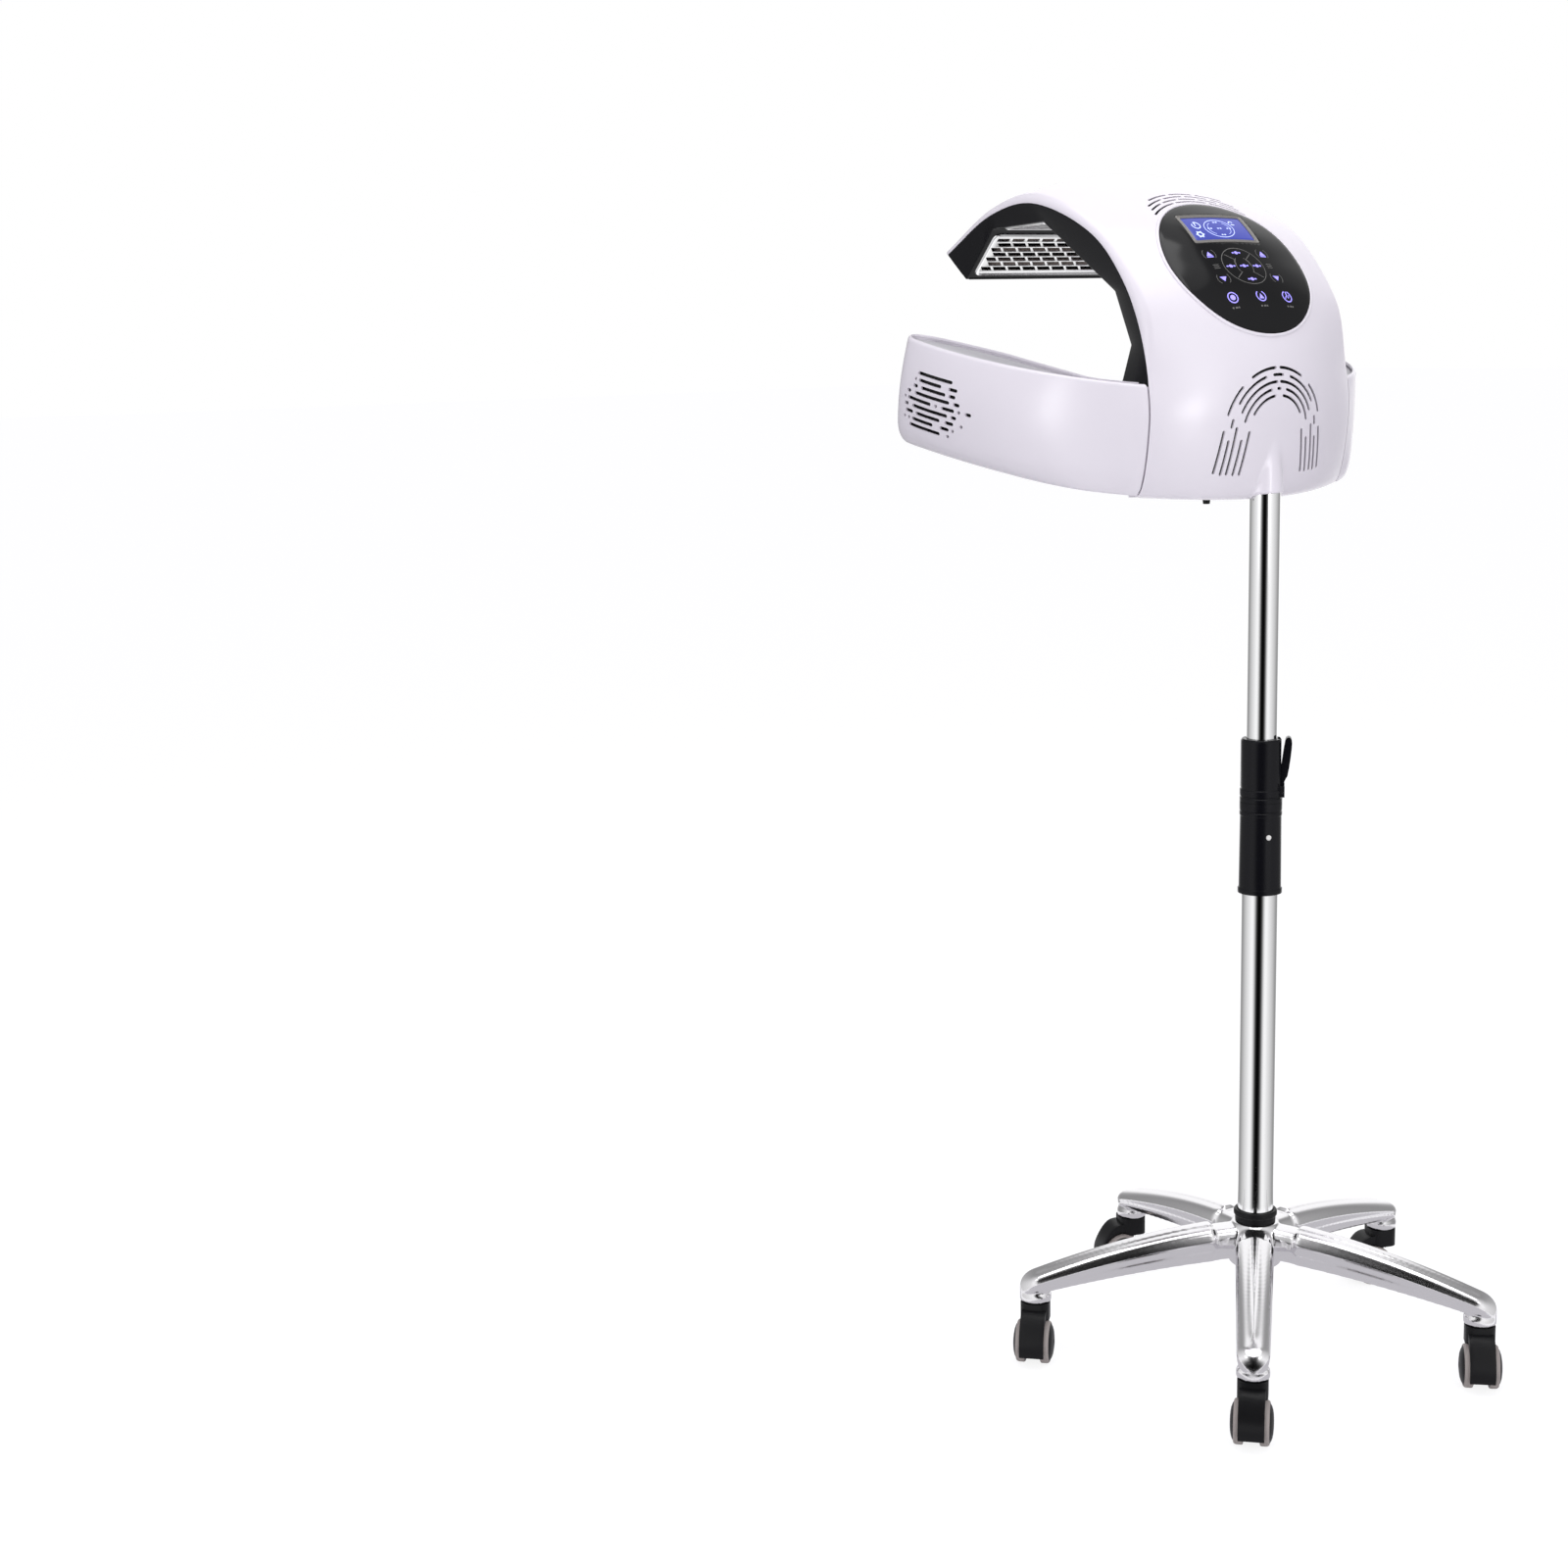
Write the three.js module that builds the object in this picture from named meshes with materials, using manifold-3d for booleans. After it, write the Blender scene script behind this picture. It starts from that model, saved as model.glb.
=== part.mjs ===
// Hair color processor on a five-star stand: a hooded infrared head with two side wings,
// a swivel on a telescopic mast, and twin-wheel casters. Millimetres, +Z up, +Y to the client.
// The mast axis is the Z axis, the floor is Z = 0, and the control panel faces -Y.
import * as THREE from 'three';
import { mergeVertices } from 'three/addons/utils/BufferGeometryUtils.js';
import loadManifold from 'manifold-3d';

const wasm = await loadManifold();
wasm.setup();

// Fits and walls shared by every piece
const fitGap = 0.3; // running or seating gap between two pieces
const shellWall = 2.6; // moulded plastic wall
const sides = 20; // facets on a large round
const smallSides = 12; // facets on a pin or a wheel

// Stand
const legCount = 5;
const stemCircle = 266; // caster stems from the mast axis
const legTurn = 226.5; // degrees, the leg that points at the camera
const hubTop = 142;
const hubBottom = 98;
const hubRadius = 31;
const legTipTop = 98;
const legTipBottom = 70;
const legRootWidth = 40;
const legTipWidth = 31;
const bossRadius = 16.5;
const wheelDiameter = 50;
const wheelWidth = 14.5;
const wheelSpread = 9; // inner wheel face from the caster's middle plane
const casterTrail = 17;
const stemDiameter = 11;
const stemDepth = 18;
const axleDiameter = 8;
const hoodWidth = 32;
const hoodWall = 3;
const casterTurns = [268, 272, 205, 205, 268]; // degrees of trail seen from the camera side
const cameraTurn = 43.5; // degrees from the panel's front to the camera

// Mast and clamp
const lowerTubeDiameter = 42;
const upperTubeDiameter = 35;
const tubeWall = 1.6;
const lowerTubeTop = 655;
const upperTubeTop = 1012;
const upperTubeLength = 600;
const collarHeight = 23.5;
const collarWall = 3;
const sleeveLip = 2; // sleeve's end wall over the lower tube
const sleeveLength = 107;
const clampHeight = 73;
const sleeveSplit = lowerTubeTop + sleeveLip;
const sleeveBottom = sleeveSplit - sleeveLength;
const sleeveTop = sleeveSplit + clampHeight;
const sleeveWall = 2.9;
const clampWall = 3.6;
const leverLength = 62;
const leverWidth = 15;
const leverThickness = 4;
const leverSpread = 9; // free gap between the lever's top and the clamp
const leverPinDiameter = 4;
const spigotDiameter = 24;
const spigotHeight = 74;
const washerHeight = 2.4;
const bushLength = 28;

// Head
const mastEntry = 12; // how far the upper tube reaches into the head
const headBase = upperTubeTop - mastEntry; // underside of the head beside the mast
const seamHalf = 150; // half the width between the wing seams
const crownRise = 22;
const shoulderRadius = 9;
const linerInset = 13; // liner's inside from the seam plane
const linerHalf = seamHalf - linerInset;
const panelRadius = 97;
const panelThickness = 3;
const panelProud = 0.8;
const panelFacets = 32;
const lcdWidth = 98;
const lcdHeight = 48;
const lcdBorder = 5;
const lcdCentre = 50; // up the slope from the panel's middle
const boardDepth = 20;
const ventWidth = 3.2;
const archVentRadius = 70;
const archVentPitch = 7.7;
const archVentHeight = 78; // arch centre above the head's underside
const ventLegLength = 44;
const grilleMargin = 10;
const grillePlate = 1.8;
const heaterDepth = 10;
const heaterShift = 3; // emitters sit back from the front wall
const fairingRadius = 21.5;
const fairingTopRadius = 19.6;
const fairingHeight = 72;
const glandX = -53;
const glandY = 38;
const glandRadius = 6;

// Wings
const wingTilt = 11; // degrees, front edge up
const wingHeight = 125;
const wingBulge = 12;
const wingUnderRadius = 28;
const seamGap = 1.6;
const capThickness = 3;
const hingePinDiameter = 3.2;
const hingeSetback = 2.7; // hinge axis beyond the wing's root face
const hingeY = 35;
const hingeFoot = headBase + 80;
const hingeTop = headBase + 124;
const earHeight = 6;
const wingVentRows = 9;
const wingVentPitch = 7.6;
const wingVentReach = 215; // middle of the side vents along the wing

const radians = THREE.MathUtils.degToRad;
const V3 = (x, y, z) => new THREE.Vector3(x, y, z);
const model = new THREE.Group();

// Finishes, one material for each mesh
const finishes = {
  white: [0xf1eff4, 0.22, 0],
  black: [0x1c1d20, 0.45, 0],
  gloss: [0x08080a, 0.06, 0],
  grey: [0xb3b1b6, 0.4, 0],
  chrome: [0xdfe2e6, 0.08, 1],
  aluminium: [0xc9ccd0, 0.25, 1],
  steel: [0xa8abb0, 0.3, 1],
  nylon: [0xe8e6e0, 0.5, 0],
  tyre: [0x2a2a2c, 0.6, 0],
  screen: [0x3c46be, 0.1, 0],
  board: [0x1e5a34, 0.5, 0],
  ceramic: [0x8d7f78, 0.6, 0],
};

function addMesh(name, geometry, finish, parent = model) {
  const [color, roughness, metalness] = finishes[finish];
  const mesh = new THREE.Mesh(geometry, new THREE.MeshStandardMaterial({ color, roughness, metalness }));
  mesh.name = name;
  parent.add(mesh);
  return mesh;
}

// Boolean joins and cuts on closed three.js geometry
function toSolid(geometry) {
  const bare = new THREE.BufferGeometry();
  bare.setAttribute('position', geometry.getAttribute('position').clone());
  if (geometry.index) bare.setIndex(geometry.index.clone());
  const welded = mergeVertices(bare, 1e-4);
  const vertProperties = new Float32Array(welded.getAttribute('position').array);
  const triVerts = new Uint32Array(welded.index.array);
  return new wasm.Manifold(new wasm.Mesh({ numProp: 3, vertProperties, triVerts }));
}

function toGeometry(solid) {
  const mesh = solid.getMesh();
  const geometry = new THREE.BufferGeometry();
  geometry.setAttribute('position', new THREE.Float32BufferAttribute(Array.from(mesh.vertProperties), 3));
  geometry.setIndex(Array.from(mesh.triVerts));
  geometry.computeVertexNormals();
  return geometry;
}

function join(...geometries) {
  return toGeometry(geometries.map(toSolid).reduce((a, b) => a.add(b)));
}

function cut(geometry, ...cutters) {
  return toGeometry(cutters.map(toSolid).reduce((a, b) => a.subtract(b), toSolid(geometry)));
}

function common(a, b) {
  return toGeometry(toSolid(a).intersect(toSolid(b)));
}

// Basic solids, all along +Z
function box(x0, x1, y0, y1, z0, z1) {
  const geometry = new THREE.BoxGeometry(x1 - x0, y1 - y0, z1 - z0);
  return geometry.translate((x0 + x1) / 2, (y0 + y1) / 2, (z0 + z1) / 2);
}

function rod(radius, z0, z1, x = 0, y = 0, facets = smallSides) {
  const geometry = new THREE.CylinderGeometry(radius, radius, z1 - z0, facets).rotateX(Math.PI / 2);
  return geometry.translate(x, y, (z0 + z1) / 2);
}

function turned(profile, facets = sides) {
  const points = profile.map(([r, z]) => new THREE.Vector2(r, z));
  return new THREE.LatheGeometry(points, facets).rotateX(Math.PI / 2);
}

function ring(inner, outer, z0, z1, facets = sides) {
  return turned([[inner, z0], [outer, z0], [outer, z1], [inner, z1], [inner, z0]], facets);
}

function prism(points, z0, z1, holes = []) {
  const shape = new THREE.Shape(points.map(([x, y]) => new THREE.Vector2(x, y)));
  for (const hole of holes) shape.holes.push(new THREE.Path(hole.map(([x, y]) => new THREE.Vector2(x, y))));
  return new THREE.ExtrudeGeometry(shape, { depth: z1 - z0, bevelEnabled: false, steps: 1 }).translate(0, 0, z0);
}

function roundedBox(width, height, radius) {
  const points = [];
  for (const [sx, sy, start] of [[1, 1, 0], [-1, 1, 90], [-1, -1, 180], [1, -1, 270]]) {
    for (const step of [0, 45, 90]) {
      const angle = radians(start + step);
      points.push([
        sx * (width / 2 - radius) + radius * Math.cos(angle),
        sy * (height / 2 - radius) + radius * Math.sin(angle),
      ]);
    }
  }
  return points;
}

// A solid skinned over rings of equally many points, capped flat at both ends
function skinned(rings, capAxes = ['x', 'y']) {
  const count = rings[0].length;
  const positions = rings.flat().flatMap((p) => [p.x, p.y, p.z]);
  const index = [];
  for (let r = 0; r + 1 < rings.length; r++) {
    for (let i = 0; i < count; i++) {
      const a = r * count + i;
      const b = r * count + ((i + 1) % count);
      index.push(a, b, b + count, a, b + count, a + count);
    }
  }
  for (const [line, base, atEnd] of [[rings[0], 0, false], [rings.at(-1), (rings.length - 1) * count, true]]) {
    const outline = line.map((p) => new THREE.Vector2(p[capAxes[0]], p[capAxes[1]]));
    const faces = THREE.ShapeUtils.triangulateShape(outline.slice(), []);
    const faceArea = faces.reduce((sum, face) => sum + THREE.ShapeUtils.area(face.map((i) => outline[i])), 0);
    const withRing = faceArea * THREE.ShapeUtils.area(outline) > 0;
    for (const [p, q, s] of faces) {
      index.push(base + p, base + (withRing === atEnd ? q : s), base + (withRing === atEnd ? s : q));
    }
  }
  const geometry = new THREE.BufferGeometry();
  geometry.setAttribute('position', new THREE.Float32BufferAttribute(positions, 3));
  geometry.setIndex(index);
  return outward(geometry);
}

// Turns every face over where the solid came out inside out
function outward(geometry) {
  const p = geometry.getAttribute('position');
  const corner = (i) => V3().fromBufferAttribute(p, geometry.index.getX(i));
  let volume = 0;
  for (let i = 0; i < geometry.index.count; i += 3) {
    volume += corner(i).dot(corner(i + 1).cross(corner(i + 2)));
  }
  if (volume < 0) {
    const index = geometry.index.array;
    for (let i = 0; i < index.length; i += 3) [index[i], index[i + 2]] = [index[i + 2], index[i]];
  }
  return geometry;
}

// Stand: cast star base
function legSection(along, width, bottom, top) {
  const points = [];
  const half = width / 2;
  const steps = 6;
  for (let i = 0; i <= steps; i++) {
    const angle = Math.PI * (i / steps);
    const x = half * Math.sign(Math.cos(angle)) * Math.abs(Math.cos(angle)) ** 0.7;
    const z = bottom + (top - bottom) * (0.35 + 0.65 * Math.sin(angle) ** 0.8);
    points.push(V3(along, x, z));
  }
  points.push(V3(along, -half * 0.86, bottom), V3(along, half * 0.86, bottom));
  return points;
}

function starLeg() {
  const rings = [];
  const reach = stemCircle + bossRadius;
  const steps = 6;
  for (let i = 0; i <= steps; i++) {
    const t = i / steps;
    const along = hubRadius * 0.5 + t * (reach - hubRadius * 0.5);
    const droop = t ** 1.8;
    const top = THREE.MathUtils.lerp(hubTop - 1, legTipTop, droop);
    const bottom = THREE.MathUtils.lerp(hubBottom + 5, legTipBottom + 4, t ** 1.6);
    const round = t > 0.97 ? 0.72 : 1;
    const width = THREE.MathUtils.lerp(legRootWidth, legTipWidth, t) * round;
    rings.push(legSection(along, width, bottom, bottom + (top - bottom) * (t > 0.97 ? 0.8 : 1)));
  }
  return skinned(rings, ['y', 'z']);
}

function onCircle(radius, degrees) {
  return [radius * Math.cos(radians(degrees)), radius * Math.sin(radians(degrees))];
}

function baseStar() {
  const hub = turned([
    [0, hubBottom], [hubRadius - 3, hubBottom], [hubRadius, hubBottom + 4], [hubRadius, hubTop - 12],
    [hubRadius - 4, hubTop], [0, hubTop],
  ]);
  const pieces = [hub];
  const holes = [rod(lowerTubeDiameter / 2 + fitGap, hubBottom + 6, hubTop + 1, 0, 0, sides)];
  for (let k = 0; k < legCount; k++) {
    const turn = legTurn + (360 / legCount) * k;
    const [x, y] = onCircle(stemCircle, turn);
    pieces.push(starLeg().rotateZ(radians(turn)));
    pieces.push(turned([
      [0, legTipBottom], [bossRadius, legTipBottom], [bossRadius, legTipBottom + 7],
      [bossRadius - 2, legTipBottom + 10], [0, legTipBottom + 10],
    ], smallSides).translate(x, y, 0));
    holes.push(rod(stemDiameter / 2 + fitGap, legTipBottom - 1, legTipBottom + stemDepth + 1, x, y));
  }
  return cut(join(...pieces), ...holes);
}

addMesh('base_star', baseStar(), 'aluminium');

const lowerRadius = lowerTubeDiameter / 2;
const upperRadius = upperTubeDiameter / 2;
const collarInner = lowerRadius + fitGap;
addMesh('hub_collar', turned([
  [collarInner, hubTop + fitGap], [collarInner + collarWall, hubTop + fitGap],
  [collarInner + collarWall, hubTop + collarHeight - 6], [collarInner + collarWall + 1.2, hubTop + collarHeight - 4],
  [collarInner + collarWall, hubTop + collarHeight], [collarInner, hubTop + collarHeight],
  [collarInner, hubTop + fitGap],
]), 'black');
const lowerTubeFoot = hubBottom + 6 + fitGap;
addMesh('lower_tube', ring(lowerRadius - tubeWall, lowerRadius, lowerTubeFoot, lowerTubeTop), 'chrome');

// Clamp on the lower tube's top, with the squeeze lever on the camera's right
const sleeveInner = lowerRadius + fitGap;
const sleeveOuter = sleeveInner + sleeveWall;
const clampInner = upperRadius + fitGap;
const clampOuter = clampInner + clampWall;
const leverTurn = -cameraTurn;
const pegTurn = legTurn + 23;
const pegOffset = 14.5; // above the sleeve's middle
const pegHeight = (sleeveBottom + sleeveSplit) / 2 + pegOffset;
const pegRadius = 3;
const peg = rod(pegRadius, lowerRadius + fitGap, sleeveOuter + 1).rotateY(Math.PI / 2);
const pegHole = rod(pegRadius + fitGap, lowerRadius - 1, sleeveOuter + 5).rotateY(Math.PI / 2);
const placePeg = (geometry) => geometry.translate(0, 0, pegHeight).rotateZ(radians(pegTurn));
addMesh('sleeve_body', cut(turned([
  [sleeveInner, sleeveBottom], [sleeveOuter + 1.2, sleeveBottom], [sleeveOuter + 1.2, sleeveBottom + 5],
  [sleeveOuter, sleeveBottom + 6], [sleeveOuter - 0.6, sleeveSplit - 16], [sleeveOuter, sleeveSplit - 15],
  [sleeveOuter, sleeveSplit - fitGap], [clampInner, sleeveSplit - fitGap],
  [clampInner, lowerTubeTop + fitGap], [sleeveInner, lowerTubeTop + fitGap], [sleeveInner, sleeveBottom],
]), placePeg(pegHole)), 'black');
addMesh('sleeve_peg', placePeg(peg), 'nylon');

const pivotHeight = sleeveSplit + 12;
const pivotRadius = clampOuter + 2.4;
const shoeHeight = 8;
const shoeWidth = 7;
const lugThickness = 3.5;
const lugSpan = leverWidth / 2 + fitGap;
function clampHead() {
  const barrel = turned([
    [clampInner, sleeveSplit], [sleeveOuter, sleeveSplit], [sleeveOuter, sleeveSplit + 15],
    [clampOuter, sleeveSplit + 19], [clampOuter, sleeveTop - 3], [clampOuter - 1, sleeveTop],
    [clampInner, sleeveTop], [clampInner, sleeveSplit],
  ]);
  const pivot = rod(leverPinDiameter / 2 + fitGap, -40, 40).rotateX(Math.PI / 2);
  const lugs = [1, -1].map((side) => box(
    clampInner + 1, pivotRadius + 5, side > 0 ? lugSpan : -lugSpan - lugThickness,
    side > 0 ? lugSpan + lugThickness : -lugSpan, pivotHeight - 6, pivotHeight + 7,
  ));
  const leverBay = box(clampOuter - 1.4, pivotRadius + 20, -lugSpan, lugSpan, pivotHeight - 8, pivotHeight + 30);
  const shoeBay = box(
    clampInner - 2, pivotRadius, -shoeWidth / 2 - fitGap, shoeWidth / 2 + fitGap,
    pivotHeight - shoeHeight / 2 - fitGap, pivotHeight + shoeHeight / 2 + fitGap,
  );
  return cut(join(barrel, ...lugs), leverBay, shoeBay, pivot.translate(pivotRadius, 0, pivotHeight));
}
addMesh('clamp_head', clampHead().rotateZ(radians(leverTurn)), 'black');
addMesh('lock_shoe', box(
  clampInner, clampOuter - 1.4 - fitGap, -shoeWidth / 2, shoeWidth / 2,
  pivotHeight - shoeHeight / 2, pivotHeight + shoeHeight / 2,
).rotateZ(radians(leverTurn)), 'steel');

function clampLever() {
  const foot = clampOuter - 1.4 + fitGap;
  const lean = leverSpread / leverLength;
  const inner = (z) => clampOuter + 0.6 + lean * (z - pivotHeight);
  const top = pivotHeight + leverLength;
  const side = [
    [foot, pivotHeight - 4], [pivotRadius + 4, pivotHeight - 4], [pivotRadius + 4.5, pivotHeight + 6],
    [inner(pivotHeight + 24) + leverThickness + 1, pivotHeight + 24], [inner(top - 6) + leverThickness, top - 6],
    [inner(top) + 1, top], [inner(top - 6), top - 6], [inner(pivotHeight + 12), pivotHeight + 12],
    [foot + 1, pivotHeight + 5],
  ];
  const plate = prism(side, -leverWidth / 2, leverWidth / 2).rotateX(Math.PI / 2);
  const bore = rod(leverPinDiameter / 2 + fitGap, -40, 40).rotateX(Math.PI / 2);
  return cut(plate, bore.translate(pivotRadius, 0, pivotHeight));
}
addMesh('clamp_lever', clampLever().rotateZ(radians(leverTurn)), 'black');
const pinReach = lugSpan + lugThickness;
const leverPin = rod(leverPinDiameter / 2, -pinReach, pinReach).rotateX(Math.PI / 2);
addMesh('lever_pin', leverPin.translate(pivotRadius, 0, pivotHeight).rotateZ(radians(leverTurn)), 'steel');

// Mast that slides in the lower tube, with the stub that the head turns on
const upperFoot = upperTubeTop - upperTubeLength;
const upperInner = upperRadius - tubeWall;
addMesh('upper_tube', ring(upperInner, upperRadius, upperFoot, upperTubeTop), 'chrome');
const bushRoom = lowerRadius - tubeWall - fitGap;
addMesh('mast_foot_bush', turned([
  [upperInner - 2, upperFoot - 4], [bushRoom, upperFoot - 4], [bushRoom, upperFoot + bushLength],
  [upperRadius + fitGap, upperFoot + bushLength], [upperRadius + fitGap, upperFoot - fitGap],
  [upperInner - 2, upperFoot - fitGap], [upperInner - 2, upperFoot - 4],
]), 'nylon');
const spigotRadius = spigotDiameter / 2;
addMesh('mast_spigot', turned([
  [0, upperTubeTop - 40], [upperInner - fitGap, upperTubeTop - 40], [upperInner - fitGap, upperTubeTop + fitGap],
  [upperRadius, upperTubeTop + fitGap], [upperRadius, upperTubeTop + 3], [spigotRadius, upperTubeTop + 3],
  [spigotRadius, upperTubeTop + spigotHeight - 2], [spigotRadius - 2, upperTubeTop + spigotHeight],
  [0, upperTubeTop + spigotHeight],
]), 'steel');
const washerFoot = upperTubeTop + 3 + fitGap;
addMesh('thrust_washer', ring(
  spigotRadius + fitGap, upperRadius - 0.5, washerFoot, washerFoot + washerHeight,
), 'nylon');

// Head surfaces: a crown line and an edge line share one parameter from the rim to the front lip.
// Points are [forward, up] from the mast axis and the head's underside.
const crownPoints = [
  [20, 2], [0, 5], [-20, 90], [-18, 150], [5, 216], [46, 267], [105, 321], [226, 370], [316, 354], [408, 302],
];
const edgePoints = [
  [58, 9], [40, 13], [22, 88], [25, 133], [43, 198], [71, 248], [121, 297], [230, 337], [308, 327], [393, 285],
];
// The liner's inside is flat between these corners: back wall, foot, rear, roof and front facets
const linerCorners = [
  [4 / 3, 88, 20], [2, 88, 100], [3, 86, 134], [11 / 3, 70, 176], [14 / 3, 98, 235], [7, 225, 316],
  [8, 319, 312], [9, 407, 261],
];
const lastSpan = crownPoints.length - 1;
const stationsPerSpan = 3;
const stationCount = lastSpan * stationsPerSpan;
const alongHead = (points) => new THREE.CatmullRomCurve3(
  points.map(([y, z]) => V3(0, y, headBase + z)), false, 'centripetal',
);
const crownLine = alongHead(crownPoints);
const edgeLine = alongHead(edgePoints);
const crownAt = (s) => crownLine.getPoint(s / lastSpan);
const edgeAt = (s) => edgeLine.getPoint(s / lastSpan);

function linerAt(s) {
  const next = Math.max(1, linerCorners.findIndex(([at]) => at >= s - 1e-9));
  const [s0, y0, z0] = linerCorners[next - 1];
  const [s1, y1, z1] = linerCorners[next];
  const t = (s - s0) / (s1 - s0);
  return V3(0, THREE.MathUtils.lerp(y0, y1, t), headBase + THREE.MathUtils.lerp(z0, z1, t));
}

// How far a point of the cross-section has dropped from crown to edge. Below the seam's corner the
// section is one smooth bow, so that the wings run on flush; above it the edge rolls over a shoulder.
const cornerSpan = 3;
const shoulderShare = (s) => THREE.MathUtils.smoothstep(s, cornerSpan, cornerSpan + 0.7);
function dropAt(s, x) {
  const bow = (x / seamHalf) ** 2;
  const past = Math.max(0, Math.min(shoulderRadius, Math.abs(x) - (seamHalf - shoulderRadius)));
  const shoulder = shoulderRadius - Math.sqrt(shoulderRadius ** 2 - past ** 2);
  const rolled = (crownRise * bow + shoulder) / (crownRise + shoulderRadius);
  return THREE.MathUtils.lerp(bow, rolled, shoulderShare(s));
}

function skinAt(s, x) {
  return crownAt(s).lerp(edgeAt(s), dropAt(s, x)).setX(x);
}

function skinNormal(s, x) {
  const ds = 0.02;
  const inner = Math.sign(x) * Math.min(Math.abs(x), seamHalf - 0.02);
  const alongPath = skinAt(Math.min(lastSpan, s + ds), inner).sub(skinAt(Math.max(0, s - ds), inner));
  const across = skinAt(s, inner + 0.01).sub(skinAt(s, inner - 0.01));
  const normal = across.cross(alongPath).normalize();
  return normal;
}

function acrossHead() {
  const flatHalf = seamHalf - shoulderRadius;
  const flat = Array.from({ length: 9 }, (_, i) => -flatHalf + (2 * flatHalf * i) / 8);
  const shoulder = [30, 60, 90].map((a) => flatHalf + shoulderRadius * Math.sin(radians(a)));
  return [...shoulder.map((x) => -x).reverse(), ...flat, ...shoulder];
}

function domeSkin() {
  const xs = acrossHead();
  const spans = stationCount;
  const positions = [];
  for (const depth of [0, shellWall]) {
    for (let i = 0; i <= spans; i++) {
      const s = i / stationsPerSpan;
      for (const x of xs) {
        const p = skinAt(s, x).addScaledVector(skinNormal(s, x), -depth);
        positions.push(p.x, p.y, p.z);
      }
    }
  }
  const wide = xs.length;
  const layer = wide * (spans + 1);
  const index = [];
  const quad = (a, b, c, d) => index.push(a, b, c, a, c, d);
  for (let i = 0; i < spans; i++) {
    for (let j = 0; j + 1 < wide; j++) {
      const a = i * wide + j;
      quad(a, a + 1, a + wide + 1, a + wide);
      quad(layer + a, layer + a + wide, layer + a + wide + 1, layer + a + 1);
    }
    const left = i * wide;
    const right = left + wide - 1;
    quad(left, left + wide, layer + left + wide, layer + left);
    quad(right, layer + right, layer + right + wide, right + wide);
  }
  for (let j = 0; j + 1 < wide; j++) {
    const far = spans * wide + j;
    quad(j, layer + j, layer + j + 1, j + 1);
    quad(far, far + 1, layer + far + 1, layer + far);
  }
  const geometry = new THREE.BufferGeometry();
  geometry.setAttribute('position', new THREE.Float32BufferAttribute(positions, 3));
  geometry.setIndex(index);
  return outward(geometry);
}

// Panel frame: x across, y up the slope, z out of the panel
const panelSpan = 5;
const panelMiddle = crownAt(panelSpan);
const panelUp = crownAt(panelSpan + 0.6).sub(crownAt(panelSpan - 0.6)).normalize();
const panelOut = V3(1, 0, 0).cross(panelUp).normalize();
const panelFrame = new THREE.Matrix4().makeBasis(V3(1, 0, 0), panelUp, panelOut).setPosition(panelMiddle);

// Height of the moulded skin over the panel's flat frame
function skinHeight(x, up) {
  let low = 3;
  let high = 8;
  for (let i = 0; i < 40; i++) {
    const middle = (low + high) / 2;
    if (skinAt(middle, x).sub(panelMiddle).dot(panelUp) < up) low = middle;
    else high = middle;
  }
  return skinAt(low, x).sub(panelMiddle).dot(panelOut);
}

// A flat solid in the panel's frame, laid onto the moulded skin
function laid(geometry) {
  const p = geometry.getAttribute('position');
  for (let i = 0; i < p.count; i++) p.setZ(i, p.getZ(i) + skinHeight(p.getX(i), p.getY(i)));
  return geometry;
}

function disc(radius, z0, z1) {
  const sectors = panelFacets;
  const rings = [];
  const circle = (r, z) => Array.from({ length: sectors }, (_, i) => {
    const angle = (2 * Math.PI * i) / sectors;
    return V3(r * Math.cos(angle), r * Math.sin(angle), z);
  });
  const shares = [0.02, 0.5, 1];
  for (const share of shares) rings.push(circle(radius * share, z0));
  for (const share of shares.slice().reverse()) rings.push(circle(radius * share, z1));
  return skinned(rings);
}

// Slots around the mast: five broken arches over two sets of legs
const archBreaks = [
  [[93, 121], [135, 163]], [[84, 96], [107, 149], [166, 175]], [[93, 156]], [[86, 94], [104, 165]], [[99, 150]],
];
function archSlots() {
  const slots = [];
  archBreaks.forEach((arcs, k) => {
    const radius = archVentRadius - archVentPitch * k;
    for (const [from, to] of arcs) {
      for (const mirror of from + to === 180 ? [1] : [1, -1]) {
        const outer = [];
        const inner = [];
        const steps = Math.max(1, Math.round((to - from) / 28));
        for (let i = 0; i <= steps; i++) {
          const angle = radians(from + ((to - from) * i) / steps);
          for (const [line, r] of [[outer, radius + ventWidth / 2], [inner, radius - ventWidth / 2]]) {
            line.push([mirror * r * Math.cos(angle), headBase + archVentHeight + r * Math.sin(angle)]);
          }
        }
        slots.push([...outer, ...inner.reverse()]);
      }
    }
    for (const mirror of [1, -1]) {
      const x = mirror * radius;
      const spread = mirror * 7.5;
      const top = headBase + archVentHeight + (k % 2 ? -9 : 2);
      const foot = headBase + archVentHeight - ventLegLength;
      const half = ventWidth / 2;
      slots.push([[x - half, top], [x + half, top], [x + spread + half, foot], [x + spread - half, foot]]);
    }
  });
  return slots.map((outline) => prism(outline, -16, 60).rotateX(Math.PI / 2));
}

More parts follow.
